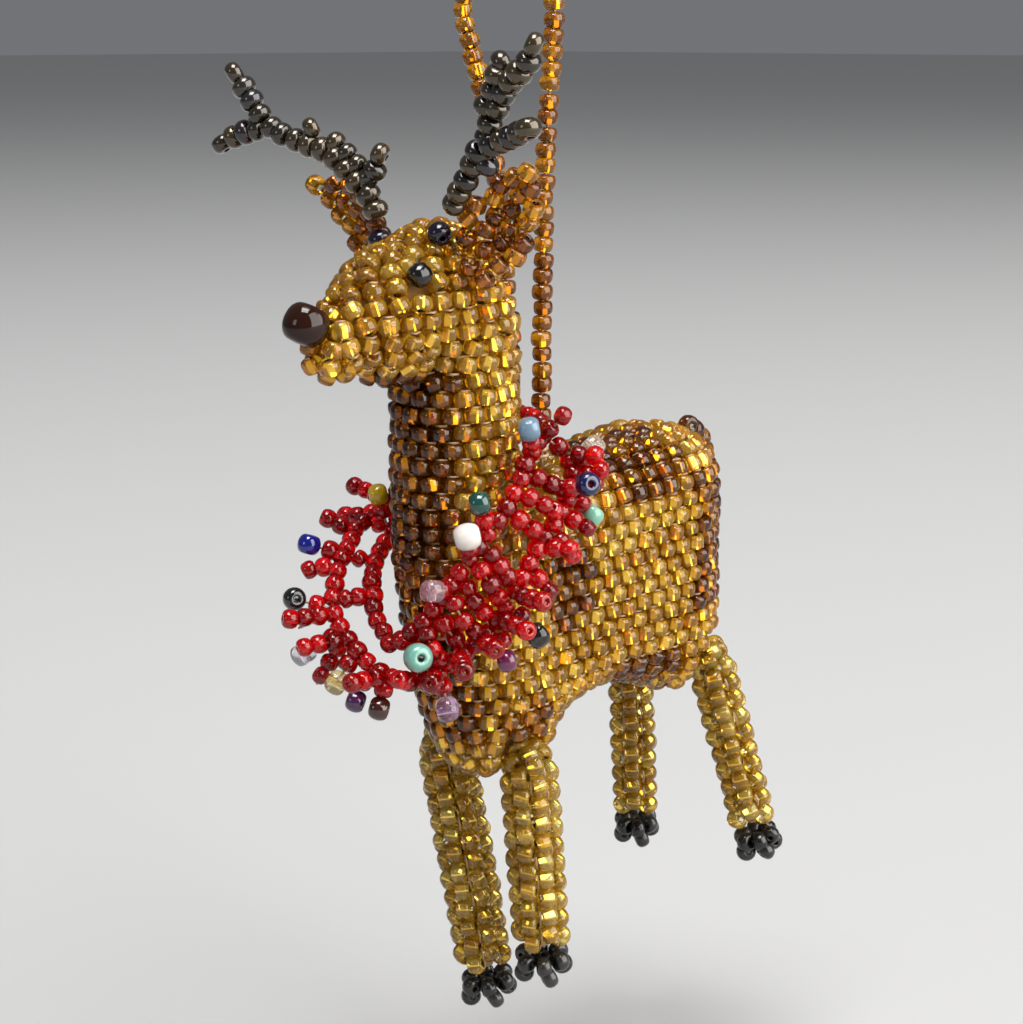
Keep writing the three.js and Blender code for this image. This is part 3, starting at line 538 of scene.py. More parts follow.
SILVER = node_material("silver_lining", [(0.1, (0.86, 0.82, 0.66)), (0.5, (0.94, 0.90, 0.76)), (0.9, (1.0, 0.97, 0.86))], rough=(0.04, 0.14), metallic=1.0)
RED = node_material("red_glass", [(0.1, (0.32, 0.0005, 0.001)), (0.5, (0.58, 0.0010, 0.002)), (0.9, (0.84, 0.004, 0.007))], transmission=0.80, spec=0.36)
IRIS = node_material("iris_glass", [(0.05, (0.008, 0.008, 0.009)), (0.35, (0.030, 0.022, 0.012)), (0.6, (0.060, 0.040, 0.016)), (0.8, (0.018, 0.018, 0.022)), (0.95, (0.050, 0.014, 0.014))], rough=(0.14, 0.24), metallic=0.6, coat=0.8, noise_scale=700, mix=0.3)
BLACK = node_material("black_glass", [(0.1, (0.002, 0.002, 0.002)), (0.9, (0.006, 0.006, 0.006))], rough=(0.05, 0.12), coat=0.2)
HOOF = node_material("hoof_glass", [(0.1, (0.003, 0.003, 0.003)), (0.5, (0.008, 0.008, 0.007)), (0.9, (0.020, 0.018, 0.015))], rough=(0.18, 0.34), coat=0.15)
ROOT = node_material("root_glass", [(0.1, (0.003, 0.002, 0.006)), (0.9, (0.010, 0.004, 0.018))], rough=(0.06, 0.14), coat=0.2)
NOSE_GLASS = node_material("nose_glass", [(0.1, (0.008, 0.002, 0.001)), (0.5, (0.018, 0.005, 0.002)), (0.9, (0.050, 0.014, 0.004))], rough=(0.02, 0.05), transmission=0.2, spec=0.30)
THREAD = node_material("nylon_thread", [(0.1, (0.40, 0.26, 0.15)), (0.9, (0.72, 0.55, 0.42))], rough=(0.28, 0.5), noise_scale=5000, noise_bump=0.3)
STUFFING = node_material("stuffing_fibre", [(0.2, (0.20, 0.10, 0.02)), (0.5, (0.34, 0.19, 0.05)), (0.8, (0.50, 0.32, 0.12))], rough=(0.7, 0.95), noise_scale=2600, noise_bump=0.8)


def accent_material(name):
    c, kind = ACCENTS[name]
    if kind == "clear":
        return node_material("accent_" + name, shades(c, 0.85, 1.1), rough=(0.01, 0.05), transmission=0.9)
    if kind == "pearl":
        return node_material("accent_" + name, shades(c, 0.9, 1.1), rough=(0.18, 0.28), coat=0.8, sub=0.2)
    if kind == "opal":
        return node_material("accent_" + name, shades(c, 0.85, 1.15), rough=(0.12, 0.2), transmission=0.25, coat=0.4)
    return node_material("accent_" + name, shades(c), rough=(0.05, 0.12), coat=0.5)


# ------------------------------------------------------------------ hanging loop (the cord)
PLAIN = bead_shape(half=0.70)
ROUND = bead_shape(R=1.18, half=0.80, hole=0.28, square=False, round_=0.88)
NET = bead_shape(R=0.95, half=0.75, hole=0.26, square=False, round_=0.78)

loop_line = smooth_path(LOOP, 1.53)
mid = (loop_line[:-1] + loop_line[1:]) / 2
ax = np.diff(loop_line, axis=0)
M = jitter(frames(ax, np.tile([[-0.6, -0.7, 0.1]], (len(ax), 1))), tip=0.05, spin=math.pi)
loop = bead_object("hanging_loop_beads", bead_shape(R=1.02, half=0.73), mid + RNG.normal(0, 0.05, mid.shape), M, RNG.normal(1.0, 0.03, len(mid)).clip(0.92, 1.06), RNG.random(len(mid)), [AMBER, SILVER])
loop_path = smooth_path(LOOP, 1.2)
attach(loop, "loop")
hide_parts("hanging_loop")
loop_thread = tubes("hanging_loop_thread", [smooth_path(LOOP, 1.5)], 0.16, THREAD)
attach(loop_thread, "loop")


# ------------------------------------------------------------------ bead skins
def brown_patch(P):
    """which beads of trunk, neck and head are brown"""
    x, y, z = P[:, 0], P[:, 1], P[:, 2]
    cx, r = column_at(z)
    ang = np.degrees(np.arctan2(y, -(x - cx)))
    bib = (np.abs(ang) < 47) & (z > 30) & (z < 64.6) & (x < 3)
    bib |= (np.abs(ang) < 40) & (z > 27) & (z <= 30) & (x < 3)
    out = bib
    Y = np.abs(y)

    def blob(cx_, cz, rx, rz, side, lo=3.5):
        return ((x - cx_) / rx) ** 2 + ((z - cz) / rz) ** 2 < 1
    near, far = y < 0, y > 0
    out |= near & (Y > 4) & blob(9.4, 42.2, 3.6, 4.3, 0)
    out |= near & (Y > 3) & blob(4.2, 29.3, 3.2, 2.3, 0)
    out |= (y < 2.0) & (z > 49.6) & (((x - 20.6) / 5.8) ** 2 + ((z - 53.6) / 4.6) ** 2 < 1)
    out |= near & (Y > 2) & blob(21.8, 31.6, 4.2, 2.2, 0)
    out |= (x > 27.6) & (z > 36.5) & (z < 51) & (y < 2.5)
    out |= far & (Y > 4) & blob(13.0, 45.0, 4.4, 3.6, 0)
    out |= far & (Y > 3) & blob(24.5, 36.5, 3.6, 4.6, 0)
    out |= far & (Y > 3) & blob(5.0, 33.0, 3.0, 3.0, 0)
    out |= (z > 60) & (x > 1.5) & (np.abs(y) < 3.2) & (z < 71)
    return out


def skin_beads(rows_, keep, anchor, level0):
    P, A, N, K = [], [], [], []
    threads = []
    for n, L in enumerate(sorted(rows_)):
        k = int(round((L - level0) / ROW))
        for line in rows_[L]:
            length = np.linalg.norm(np.diff(np.vstack([line, line[:1]]), axis=0), axis=1).sum()
            if length < 2.0:
                continue
            closed = np.linalg.norm(line[0] - line[-1]) < 2.5
            p, t = along(line, closed, PITCH, 0.5 * (k % 2), anchor)
            nrm = gradient(body_field, p)
            a = np.cross(nrm, t)
            a /= np.linalg.norm(a, axis=1, keepdims=True) + 1e-12
            ok = keep(p)
            P.append(p[ok]); A.append(a[ok]); N.append(nrm[ok])
            for q, tt, aa, nn in zip(p[ok], t[ok], a[ok], nrm[ok]):
                ear_near = min(np.linalg.norm(q - np.array(e[0])) for e in EARS.values()) < 5.5
                if RNG.random() < 0.8 and not ear_near:
                    c = q + aa * ROW / 2 + nn * 0.42
                    w = 0.55
                    threads.append([c - tt * w - nn * 0.30, c - nn * 0.04, c + tt * w - nn * 0.30])
    return np.vstack(P), np.vstack(A), np.vstack(N), threads


def thin_out(P, *extra, least=1.36):
    """no two beads closer than the glass allows"""
    keep = np.ones(len(P), bool)
    cell = {}
    for k, p in enumerate(P):
        key = tuple((p // 2.0).astype(int))
        near = [j for a in (-1, 0, 1) for b in (-1, 0, 1) for c in (-1, 0, 1) for j in cell.get((key[0] + a, key[1] + b, key[2] + c), [])]
        if any(np.linalg.norm(P[j] - p) < least for j in near):
            keep[k] = False
        else:
            cell.setdefault(key, []).append(k)
    return [P[keep]] + [e[keep] for e in extra]


LEVEL0 = 41.0
LEVELS = [LEVEL0 + ROW * k for k in range(-30, 40)]
INSET = 1.06
SHAPE = bead_shape()


def above_foot(p):
    return p[:, 2] > NECK_FOOT_Z + NECK_FOOT_SLOPE * p[:, 0]


def clear_of_legs(p):
    ok = np.ones(len(p), bool)
    for hip, toe, r in LEGS.values():
        h, t = np.array(hip), np.array(toe)
        d = (t - h) / np.linalg.norm(t - h)
        s = ((p - h) @ d)
        off = np.linalg.norm(p - h - s[:, None] * d, axis=1)
        ok &= ~((s > -1.0) & (off < r + 1.05)) & (np.linalg.norm(p - h, axis=1) > r + 0.85)
    return ok


def trunk_cap(P):
    return np.maximum(body_field(P), (P[..., 2] - (NECK_FOOT_Z + 3.4) - NECK_FOOT_SLOPE * P[..., 0]) / math.hypot(1, NECK_FOOT_SLOPE))


def head_cap(P):
    return np.maximum(body_field(P), NECK_HEAD_Z - 3.0 - P[..., 2])


eyes = {"left_eye": -1, "right_eye": 1}
eye_at = {n: shell([-8.6, 0, 74.0], np.array([[0.0, s, 0.0]]), 0.35, body_field)[0] for n, s in eyes.items()}
root_at = {}
for n, (x, y) in {"right_antler_root_bead": (-5.3, 4.5), "left_antler_root_bead": (-5.0, -3.4)}.items():
    q = shell([x, y, 72.0], np.array([[0.0, 0.0, 1.0]]), 0.0, body_field)[0]
    root_at[n] = q + np.array([0, 0, 1.15 * 0.35])


def clear_of_face(p):
    ok = np.linalg.norm(p - np.array(NOSE[0]), axis=1) > NOSE[1] + 0.75
    for c in list(eye_at.values()) + list(root_at.values()):
        ok &= np.linalg.norm(p - c, axis=1) > 1.6
    return ok


def column_rows(z_lo, z_hi):
    out = {}
    for L in LEVELS:
        a = np.linspace(0, 2 * np.pi, 120, endpoint=False)
        r = 6.45 - INSET
        ring = np.stack([r * np.cos(a), r * np.sin(a), L + TILT * r * np.cos(a)], -1)
        if z_lo < L < z_hi:
            out[L] = [ring]
    return out


towards_camera = np.array([-60.0, -60.0, 0.0])
trunk = skin_beads(bead_rows([13.5, 0, 41], trunk_cap, INSET, LEVELS), lambda p: ~above_foot(p) & clear_of_legs(p) & (p[:, 2] < 58), np.array([6.0, -40.0, 41.0]), LEVEL0)
neck = skin_beads(column_rows(46, 67), lambda p: above_foot(p) & (p[:, 2] < NECK_HEAD_Z + 3.2) & (head_field(p) > -2.4), towards_camera, LEVEL0)
head = skin_beads(bead_rows([-5.0, 0, 70.2], head_cap, INSET, LEVELS, nth=90, nph=120), lambda p: (p[:, 2] >= NECK_HEAD_Z + 0.1) & clear_of_face(p), towards_camera, LEVEL0)

placed, skins = [], {}
for name, (P, A, N, threads) in (("trunk", trunk), ("head", head), ("neck", neck)):
    if placed:
        Q = np.vstack(placed)
        free = np.array([np.min(np.linalg.norm(Q - p, axis=1)) > 1.5 for p in P])
        P, A, N = P[free], A[free], N[free]
    P, A, N = thin_out(P, A, N)
    placed.append(P)
    skins[name] = [P, A, N, threads]

# single beads close the places where rows meet
th, ph = np.meshgrid(np.linspace(0.05, np.pi - 0.05, 90), np.linspace(0, 2 * np.pi, 140, endpoint=False), indexing="ij")
D = np.stack([np.sin(th) * np.cos(ph), np.sin(th) * np.sin(ph), np.cos(th)], -1).reshape(-1, 3)
C1 = shell([-5.0, 0, 70.2], D, INSET, body_field); C1 = C1[(C1[:, 2] > 61.0)]
C2 = shell([13.5, 0, 41], D, INSET, body_field); C2 = C2[C2[:, 2] < 58.0]
C3 = shell([0.0, 0, 60.0], D[np.abs(D[:, 2]) < 0.8], INSET, body_field); C3 = C3[(C3[:, 2] > 54) & (C3[:, 2] < 66)]
C = np.vstack([C1, C2, C3])
C = C[np.abs(body_field(C) + INSET) < 0.1]
C = C[clear_of_face(C) & clear_of_legs(C)]
Q = np.vstack(placed); QA = np.vstack([v[1] for v in skins.values()])
gap = np.full(len(C), 1e9); near = np.zeros(len(C), int)
for k, q in enumerate(Q):
    d = np.linalg.norm(C - q, axis=1)
    m = d < gap
    gap[m], near[m] = d[m], k
added = 0
while gap.max() > 1.38 and added < 400:
    k = int(np.argmax(gap))
    p, n = C[k], gradient(body_field, C[k][None])[0]
    a = QA[near[k]] - (QA[near[k]] @ n) * n
    a /= np.linalg.norm(a) + 1e-12
    name = "head" if p[2] > NECK_HEAD_Z + 0.1 else ("neck" if above_foot(p[None])[0] else "trunk")
    for slot_, value in zip(range(3), (p, a, n)):
        skins[name][slot_] = np.vstack([skins[name][slot_], value])
    d = np.linalg.norm(C - p, axis=1)
    gap = np.minimum(gap, d)
    added += 1
print("filled", added)

for name, body, node in (("trunk", "animal", "trunk_bead_skin"), ("head", "animal", "head_bead_skin"), ("neck", "animal", "neck_bead_skin")):
    P, A, N, threads = skins[name]
    brown = brown_patch(P)
    M = jitter(frames(A, N), tip=0.10 if name != "head" else 0.26)
    scale = np.column_stack([RNG.normal(1.0, 0.025, len(P)), RNG.normal(1.0, 0.025, len(P)), RNG.normal(1.0, 0.03, len(P))]).clip(0.93, 1.06)
    P = P + N * RNG.normal(0, 0.06, (len(P), 1))
    tone = RNG.random(len(P))
    for colour, pick, mat in (("gold", ~brown, GOLD), ("brown", brown, BROWN)):
        if not pick.any():
            continue
        ob = bead_object(f"{name}_{colour}_beads", SHAPE, P[pick], M[pick], scale[pick], tone[pick], [mat, SILVER])
        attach(ob, body)
        if colour == "gold":
            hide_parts(node)
    th = tubes(f"{name}_stitching_thread", threads, 0.11, THREAD, sides=5)
    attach(th, body)
    print(name, "beads", len(P))

# the firm fibre filling, just inside the beads
def lump(centre, field, inset, nth=40, nph=64):
    th_ = np.linspace(0, np.pi, nth)[1:-1]
    ph_ = np.arange(nph) / nph * 2 * np.pi
    T_, F_ = np.meshgrid(th_, ph_, indexing="ij")
    dirs = np.stack([np.sin(T_) * np.cos(F_), np.sin(T_) * np.sin(F_), np.cos(T_)], -1).reshape(-1, 3)
    dirs = np.vstack([[0, 0, 1.0], dirs, [0, 0, -1.0]])
    V_ = shell(centre, dirs, inset, field)
    V_ += gradient(field, V_) * (np.sin(V_[:, :1] * 2.1 + 1.3 * V_[:, 1:2]) * np.sin(V_[:, 2:] * 1.9 + V_[:, 1:2]) * 0.12 - 0.05)
    F_ = [(0, 1 + i, 1 + (i + 1) % nph) for i in range(nph)]
    for j in range(nth - 3):
        F_ += [(1 + j * nph + i, 1 + (j + 1) * nph + i, 1 + (j + 1) * nph + (i + 1) % nph, 1 + j * nph + (i + 1) % nph) for i in range(nph)]
    e = 1 + (nth - 3) * nph
    F_ += [(e + i, len(V_) - 1, e + (i + 1) % nph) for i in range(nph)]
    return V_, F_


def neck_fill(P_):
    r_ = 6.45 - 2.2
    return np.maximum(np.hypot(P_[..., 0], P_[..., 1]) - r_, np.abs(P_[..., 2] - 59.5) - 8.0)


FV, FF = [], []
for c_, f_, i_ in (([13.5, 0, 41], trunk_cap, 2.3), ([-5.0, 0, 70.2], head_cap, 2.3), ([0.0, 0, 59.5], neck_fill, 0.1)):
    v_, t_ = lump(c_, f_, i_)
    FF += [tuple(q + len(FV) for q in t) for t in t_]
    FV += list(v_)
filling = plain_object("stuffing_fibre", FV, FF, STUFFING)
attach(filling, "animal"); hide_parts("stuffing_core")

# ------------------------------------------------------------------ legs and hooves
LEG_SHAPE = bead_shape(R=1.10, half=0.78, hole=0.30)
for name, (hip, toe, r) in LEGS.items():
    h, t = np.array(hip), np.array(toe)
    d = (t - h) / np.linalg.norm(t - h)
    reach = np.linalg.norm(t - h)
    side = np.cross(d, [1.0, 0, 0]); side /= np.linalg.norm(side); fore = np.cross(side, d)
    rr = r - 0.95
    cols = 8 if r > 2.8 else 6
    P, A, N, threads = [], [], [], []
    last = reach - 1.9 - 0.32 - 1.3
    n_rows = int(round((last - 0.2) / 2.08))
    pitch = (last - 0.2) / n_rows
    for c in range(cols):
        a = 2 * math.pi * c / cols + 0.35
        out = math.cos(a) * fore + math.sin(a) * side
        tangent = -math.sin(a) * fore + math.cos(a) * side
        for k in range(n_rows + 1):
            s = (k + (0.5 if c % 2 else 0.0)) * pitch - 0.4
            if s > last - 0.7:
                continue
            drop = max(0.0, 1.2 - s) * 0.35
            p = h + d * s + out * (rr - drop)
            P.append(p); A.append(tangent); N.append(out)
            if RNG.random() < 0.7:
                q = p + tangent * 0.84 + out * 0.2
                threads.append([q - d * 0.7 - out * 0.15, q, q + d * 0.7 - out * 0.15])
    for c in range(3):  # the closed top of the leg
        a = 2 * math.pi * c / 3
        out = math.cos(a) * fore + math.sin(a) * side
        P.append(h - d * 1.25 + out * 0.95); A.append(-math.sin(a) * fore + math.cos(a) * side); N.append(-d)
    P, A, N = np.array(P), np.array(A), np.array(N)
    M = jitter(frames(A, N), tip=0.12)
    ob = bead_object(name + "_leg_beads", LEG_SHAPE, P + RNG.normal(0, 0.05, P.shape), M, RNG.normal(1.0, 0.03, len(P)).clip(0.93, 1.05), RNG.random(len(P)), [PALE, SILVER])
    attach(ob, name + "_leg_body"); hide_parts(name + "_leg")
    th = tubes(name + "_leg_thread", threads, 0.11, THREAD, sides=5)
    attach(th, name + "_leg_body")
    # the passes of thread that run down inside the tube
    line = [h + d * 0.8, h + d * (last - 0.6)]
    core_leg = tubes(name + "_leg_inner_thread", [np.array([lerp(line[0], line[1], q) for q in np.linspace(0, 1, 9)])], rr - 1.1 if rr > 1.7 else 0.6, THREAD, sides=12)
    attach(core_leg, name + "_leg_body")
    # hoof: a ring of dark beads and four that point down
    base = h + d * (last + 0.32 + 0.95)
    P, A, N = [], [], []
    for c in range(6):
        a = 2 * math.pi * c / 6 + 0.2
        out = math.cos(a) * fore + math.sin(a) * side
        P.append(base + out * (r - 1.02)); A.append(-math.sin(a) * fore + math.cos(a) * side); N.append(out)
    for i in range(4):
        a = math.pi / 2 * i + 0.5
        out = math.cos(a) * fore + math.sin(a) * side
        P.append(base + d * 1.25 + out * (r - 0.95)); A.append(-math.sin(a) * fore + math.cos(a) * side + 0.3 * d); N.append(out)
    P.append(base + d * 0.3); A.append(d); N.append(fore)
    ob = bead_object(name + "_hoof_beads", bead_shape(R=1.06, half=0.76, hole=0.26, square=False, round_=0.8), np.array(P), jitter(frames(np.array(A), np.array(N)), tip=0.15), RNG.normal(1.0, 0.03, len(P)).clip(0.94, 1.04), RNG.random(len(P)), [HOOF])
    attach(ob, name + "_leg_body"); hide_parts(name + "_hoof")


# ------------------------------------------------------------------ strands of beads
def strand(points, pitch, skip_start=0.0, skip_end=0.0):
    line = smooth_path(points, 0.1)
    s = np.concatenate([[0], np.cumsum(np.linalg.norm(np.diff(line, axis=0), axis=1))])
    L = s[-1] - skip_start - skip_end
    n = max(1, int(round(L / pitch)))
    at = skip_start + (np.arange(n) + 0.5) / n * L
    P = np.stack([np.interp(at, s, line[:, k]) for k in range(3)], -1)
    B = np.stack([np.interp(np.minimum(at + 0.4, s[-1]), s, line[:, k]) for k in range(3)], -1)
    A_ = np.stack([np.interp(np.maximum(at - 0.4, 0), s, line[:, k]) for k in range(3)], -1)
    T = B - A_
    return P, T / (np.linalg.norm(T, axis=1, keepdims=True) + 1e-12)


antler_at = {}
for name, runs in (("right_antler", RIGHT_ANTLER), ("left_antler", LEFT_ANTLER)):
    P, T = [], []
    for k, run in enumerate(runs):
        p, t = strand(run, 1.62, skip_start=0.0 if k == 0 else 1.1)
        if len(t):
            t[-1] = np.cross(t[-1], [0.69, 0.69, -0.2])
        P.append(p); T.append(t)
        if k and len(runs[0]) > 3:  # each tine's own strand runs down beside the beam for a few beads
            beam, way = P[0], T[0]
            near = int(np.argmin(np.linalg.norm(beam - np.array(run[0]), axis=1)))
            side = np.cross(way[near], BACK); side /= np.linalg.norm(side)
            side *= 1.0 if side @ (np.array(run[-1]) - np.array(run[0])) > 0 else -1.0
            lo_ = max(0, near - ({1: 0, 2: 4, 3: 1} if name == "right_antler" else {1: 3, 2: 1})[k])
            P.append(beam[lo_:near] + side * 1.15 + (way[lo_:near] * 0.8)); T.append(way[lo_:near])
    P, T = np.vstack(P), np.vstack(T)
    P, T = thin_out(P, T, least=1.08)
    M = jitter(frames(T, np.tile([[-0.6, -0.7, 0.3]], (len(P), 1))), tip=0.12, spin=math.pi)
    antler_at[name] = P
    ob = bead_object(name + "_beads", ROUND, P + RNG.normal(0, 0.05, P.shape), M, RNG.normal(1.0, 0.045, len(P)).clip(0.9, 1.08), RNG.random(len(P)), [IRIS])
    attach(ob, "animal"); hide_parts(name)

for name, c in root_at.items():
    ob = bead_object(name + "_glass", bead_shape(R=1.15, half=0.92, hole=0.26, square=False, sides=24, round_=0.8), c[None], jitter(frames(np.array([[0.3, 1.0, 0.5]]), np.array([[0, 0, 1.0]])), spin=1), np.array([1.0]), np.array([0.4]), [ROOT])
    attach(ob, "animal"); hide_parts(name)
for name, c in eye_at.items():
    s = eyes[name]
    if s > 0:
        c = c + np.array([0.2, -0.35, -0.5])
    ob = bead_object(name + "_glass", bead_shape(R=1.14, half=1.02, hole=0.24, square=False, sides=24, round_=0.8), c[None], jitter(frames(np.array([[0.75, 0.1 * s, 0.5]]), np.array([[0, s, 0.2]])), tip=0.02), np.array([1.0]), np.array([0.3]), [BLACK])
    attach(ob, "animal"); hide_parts(name)
nose = bead_object("nose_bead_glass", bead_shape(R=2.15, half=1.85, hole=0.42, square=False, sides=40, round_=0.8), np.array([NOSE[0]]), frames((0.92 * UP + 0.38 * RIGHT)[None], np.array([[-1.0, 0, 0.0]])), np.array([1.0]), np.array([0.5]), [NOSE_GLASS])
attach(nose, "animal"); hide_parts("nose_bead")
for ob in (nose,):
    mod = ob.modifiers.new("round", "SUBSURF"); mod.levels = mod.render_levels = 2

# tail
P, T = strand(TAIL, 1.5)
P = np.vstack([[34.6, 0, 54.3], P]); T = np.vstack([[0.3, 1.0, 0.0], T])
P, T = thin_out(P, T, least=0.9)
ob = bead_object("tail_beads", bead_shape(R=1.15, half=0.76), P, jitter(frames(T, np.tile([[1.0, 0, 0.5]], (len(P), 1))), tip=0.1), np.full(len(P), 1.0), RNG.random(len(P)), [BROWN, SILVER])
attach(ob, "animal"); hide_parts("tail")

# ------------------------------------------------------------------ ears
EAR_CLEAR, ROOT_CLEAR = 1.72, 2.2
for name, (root, tip, facing) in EARS.items():
    root, tip, facing = np.array(root), np.array(tip), np.array(facing)
    x = tip - root; L = np.linalg.norm(x); x /= L
    z = facing - (facing @ x) * x; z /= np.linalg.norm(z); y = np.cross(z, x)
    P, A, N = [], [], []
    k = 0
    s = -0.9
    R = 9.5 - 0.95
    while s < L + 0.2:
        f = s / L
        half = np.interp(f, [0.0, 0.15, 0.35, 0.6, 0.85, 1.0], [3.0, 3.9, 3.9, 2.9, 1.4, 0.1])
        n = max(1, int(round(2 * half / 1.92)))
        for i in range(n):
            w = (i - (n - 1) / 2) * 1.92
            dz = 8.5 - math.sqrt(max(R * R - (s - 0.45 * L) ** 2 - w * w, 0))
            P.append(root + x * s + y * w + z * dz)
            A.append(x); N.append(z)
        s += 1.52; k += 1
    P, A, N = np.array(P), np.array(A), np.array(N)
    M = jitter(frames(A, N), tip=0.22)
    P = P + RNG.normal(0, 0.07, P.shape)
    size, tone = RNG.normal(1.0, 0.03, len(P)).clip(0.93, 1.05), RNG.random(len(P))
    free = np.ones(len(P), bool)
    hinge = np.array([-2.2, 6.5 if name == "right_ear" else -6.5, 75.7])
    for turn in (-12.0, 0.0, 12.0):  # sewn beside its neighbours and clear of them as it flexes
        c, d = math.cos(math.radians(turn)), math.sin(math.radians(turn))
        Q = (P - hinge) @ np.array([[1, 0, 0], [0, c, d], [0, -d, c]]) + hinge
        free &= np.linalg.norm(Q - root_at[name.replace("ear", "antler_root_bead")], axis=1) > ROOT_CLEAR
        free &= np.linalg.norm(Q[:, None] - skins["head"][0][None], axis=2).min(axis=1) > EAR_CLEAR
        free &= np.linalg.norm(Q[:, None] - antler_at[name.replace("ear", "antler")][None], axis=2).min(axis=1) > EAR_CLEAR
    print(name, "beads", len(P), "kept", int(free.sum()))
    ob = bead_object(name + "_beads", bead_shape(R=1.0, half=0.72), P[free], M[free], size[free], tone[free], [EAR_GLASS, SILVER])
    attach(ob, name + "_body"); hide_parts(name)

# ------------------------------------------------------------------ garland
curves = [smooth_path(q, 0.2) for q in ([*TOP_STRAND, TOP_STRAND[0]], LOW_STRAND, *CROSS)]


def snap(p, lines):
    q = np.vstack(lines)
    return q[int(np.argmin(np.linalg.norm(q - np.array(p), axis=1)))]


P, T = [], []
threads = [c[::3] for c in curves]
for pts in ([*TOP_STRAND, TOP_STRAND[0]], [snap(LOW_STRAND[0], curves[:1]), *LOW_STRAND[1:-1], snap(LOW_STRAND[-1], curves[:1])]):
    p, t = strand(pts, 1.52); P.append(p); T.append(t)
for c in CROSS:
    line = [snap(c[0], curves[:1]), c[1], snap(c[2], curves[1:2])]
    p, t = strand(line, 1.5, 0.9, 0.9); P.append(p); T.append(t); threads.append(smooth_path(line, 0.5))
for c, d in (CROSS[0:2], CROSS[2:4], CROSS[3:5], CROSS[4:6]):
    m = (np.array(c) + np.array(d)) / 2
    out = m[1] * [1, 1, 0] * 0.0 + (m[1] - [0, 0, m[1][2]]) / np.linalg.norm((m[1] - [0, 0, m[1][2]]))
    line = [snap(m[0], curves[:1]), m[1] + out * 1.0, snap(m[2], curves[1:2])]
    p, t = strand(line, 1.5, 0.8, 0.8); P.append(p); T.append(t); threads.append(smooth_path(line, 0.5))
low = curves[1]
s_low = np.concatenate([[0], np.cumsum(np.linalg.norm(np.diff(low, axis=0), axis=1))])
for q in np.arange(3.0, s_low[-1] - 3.0, 2.7):  # short red picots all along the lower edge
    a = np.array([np.interp(q, s_low, low[:, k]) for k in range(3)])
    b = np.array([np.interp(q + 0.5, s_low, low[:, k]) for k in range(3)])
    out = a - [0, 0, a[2]]; out /= np.linalg.norm(out)
    down = np.cross(b - a, out); down /= np.linalg.norm(down); down *= -np.sign(down[2]) if abs(down[2]) > 0.1 else 1
    v = out * RNG.uniform(0.8, 1.1) + down * RNG.uniform(-0.5, 0.35)
    if 43.0 < a[2] < 50.5 and a[1] < 0 and RNG.random() < 0.55:  # the netting is open over the shoulder
        continue
    v /= np.linalg.norm(v)
    many = 2 if RNG.random() < 0.7 else 3
    if min(np.linalg.norm(a + v * (0.8 + 1.5 * q) - np.array(tip)) - r for _, tip, _n, r, _w in PICOTS for q in (many - 0.5, many - 1.5)) < 1.15:
        continue  # an accent bead's own picot is there
    P.append(a + v * (0.8 + 1.5 * (np.arange(many)[:, None] + 0.5))); T.append(np.tile(v, (many, 1)))
    threads.append([a, a + v * (0.6 + 1.5 * many)])
for foot, tip, *_ in PICOTS:
    r = _[1]
    a = snap(foot, curves); b = np.array(tip); v = b - a; L = np.linalg.norm(v)
    threads.append([a, b])
    if L - r - 0.7 > 0.8:
        p, t = strand([a + v / L * 0.7, b - v / L * (r + 0.0)], 1.5); P.append(p); T.append(t)
for foot, tip in RED_TIPS:
    a = snap(foot, curves); b = np.array(tip)
    p, t = strand([a + (b - a) / np.linalg.norm(b - a) * 0.7, b], 1.5)
    t[-1] = np.cross(t[-1], [0.4, 0.8, 0.3]); P.append(p); T.append(t); threads.append([a, b])
P, T = np.vstack(P), np.vstack(T)
P, T = thin_out(P, T, least=1.12)
print("garland beads", len(P))
M = jitter(frames(T, np.tile([[-0.6, -0.7, 0.3]], (len(P), 1))), tip=0.16, spin=math.pi)
net = bead_object("garland_red_beads", NET, P + RNG.normal(0, 0.06, P.shape), M, RNG.normal(1.0, 0.04, len(P)).clip(0.9, 1.06), RNG.random(len(P)), [RED])
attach(net, "garland"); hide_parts("garland_netting")
th = tubes("garland_thread", threads, 0.12, THREAD, sides=5)
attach(th, "garland")
for foot, tip, name, r, way in PICOTS:
    v = np.array(tip) - np.array(foot); v /= np.linalg.norm(v)
    axis = {0: v, 1: np.cross(v, BACK), 2: BACK + 0.35 * RIGHT}[way]
    ob = bead_object("garland_bead_" + name + "_glass", bead_shape(R=r, half=r * (0.95 if name == "pearl" else 0.84), hole=0.26 * r, square=False, sides=24, round_=0.98 if name == "pearl" else 0.82), np.array([tip], float), frames(np.array([axis], float), np.array([BACK])), np.array([1.0]), np.array([0.5]), [accent_material(name)])
    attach(ob, "garland"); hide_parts("garland_bead_" + name)

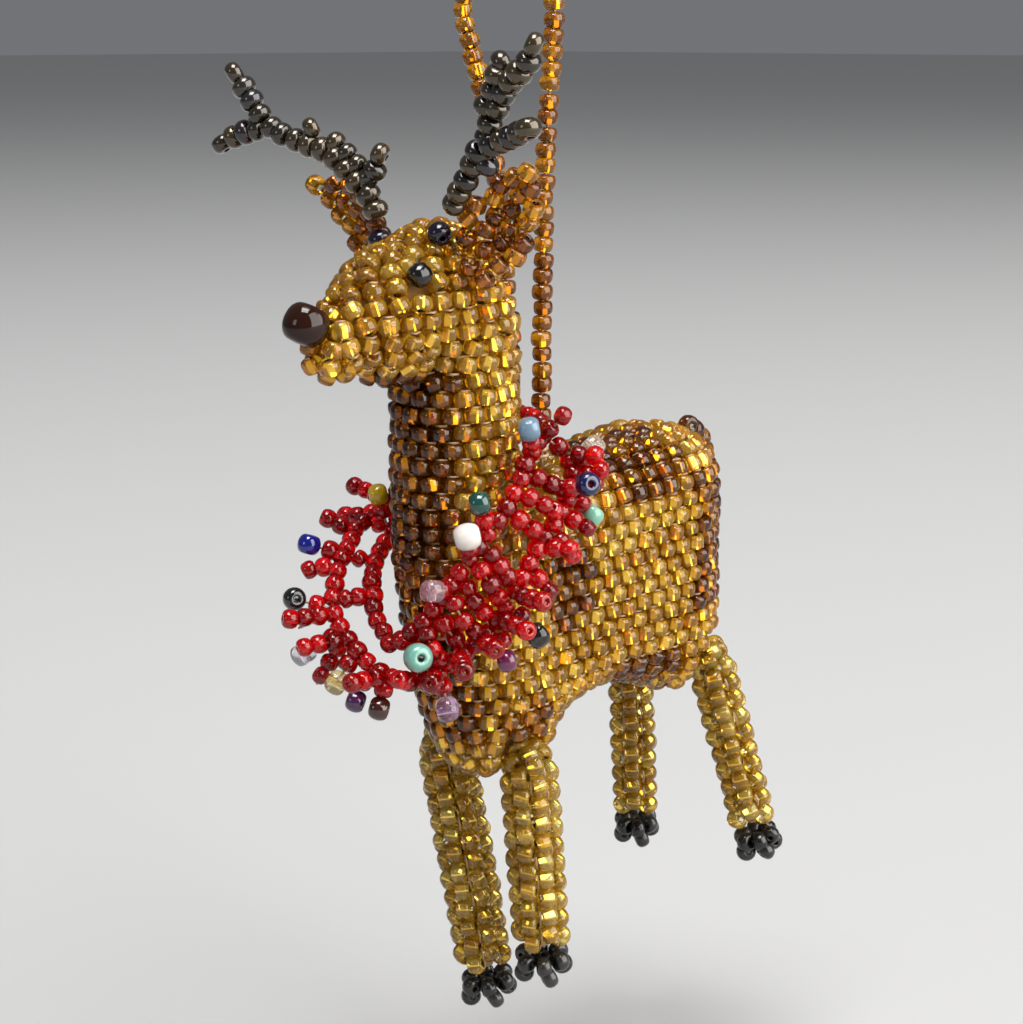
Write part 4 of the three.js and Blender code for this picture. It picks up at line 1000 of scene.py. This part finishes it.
# ------------------------------------------------------------------ thread eyes the loop is tied to
for name, end in (("left_loop_anchor", LOOP[0]), ("right_loop_anchor", LOOP[-1])):
    top = end[2] - 0.3
    q = shell([end[0], end[1], 45.0], np.array([[0.0, 0.0, 1.0]]), 0.0, body_field)[0]
    turns = 5
    pts = []
    for k in range(turns * 14 + 1):
        a = 2 * math.pi * k / 14
        f = k / (turns * 14)
        rad = 0.62 - 0.25 * f
        pts.append([end[0] + rad * math.cos(a), end[1] + rad * math.sin(a), lerp(q[2] + 0.35, top - 0.15, f)])
    ob = tubes(name + "_thread", [pts, [[end[0], end[1], q[2] - 0.2], [end[0], end[1], lerp(q[2], top, 0.5)], [end[0], end[1], top]]], 0.17, THREAD)
    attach(ob, "animal"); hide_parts(name)

# ------------------------------------------------------------------ studio
lo, hi = CAD_BOX
floor_z = lo[2] - 0.012
fl = bpy.data.meshes.new("floor")
fl.from_pydata([(-9, -9, floor_z), (9, -9, floor_z), (9, 9, floor_z), (-9, 9, floor_z)], [], [(0, 1, 2, 3)])
floor = bpy.data.objects.new("floor", fl)
bpy.context.collection.objects.link(floor)
fm = bpy.data.materials.new("pale_floor")
fm.use_nodes = True
fm.node_tree.nodes["Principled BSDF"].inputs["Base Color"].default_value = (0.36, 0.36, 0.36, 1)
fm.node_tree.nodes["Principled BSDF"].inputs["Roughness"].default_value = 0.8
fl.materials.append(fm)

world = bpy.data.worlds.new("world")
world.use_nodes = True
world.node_tree.nodes["Background"].inputs["Color"].default_value = (0.62, 0.64, 0.68, 1)
world.node_tree.nodes["Background"].inputs["Strength"].default_value = 0.27
bpy.context.scene.world = world


def area(name, at, target, size, power, colour=(1, 1, 1)):
    d = bpy.data.lights.new(name, "AREA")
    d.shape, d.size, d.energy, d.color = "SQUARE", size, power, colour
    o = bpy.data.objects.new(name, d)
    bpy.context.collection.objects.link(o)
    o.location = at
    o.rotation_euler = (Vector(target) - Vector(at)).to_track_quat("-Z", "Y").to_euler()
    return o


centre = Vector((0, 0, -0.055))
eye_right, eye_up, eye_back = Vector(RIGHT), Vector(UP), Vector(BACK)
area("key", centre + eye_right * 1.05 + eye_back * 0.60 + Vector((0, 0, 0.45)), centre, 1.6, 46.0, (1.0, 0.98, 0.94))
area("top", centre + eye_right * -0.10 + eye_back * 0.40 + Vector((0, 0, 1.45)), centre, 0.80, 31.0)
area("fill", centre + eye_right * -1.1 + eye_back * 0.85 + Vector((0, 0, 0.30)), centre, 0.40, 1.6)
sun = bpy.data.lights.new("overhead", "SUN")
sun.energy, sun.angle = 0.55, 0.6
sun_ob = bpy.data.objects.new("overhead", sun)
bpy.context.collection.objects.link(sun_ob)
bpy.context.scene.view_settings.view_transform = "Standard"
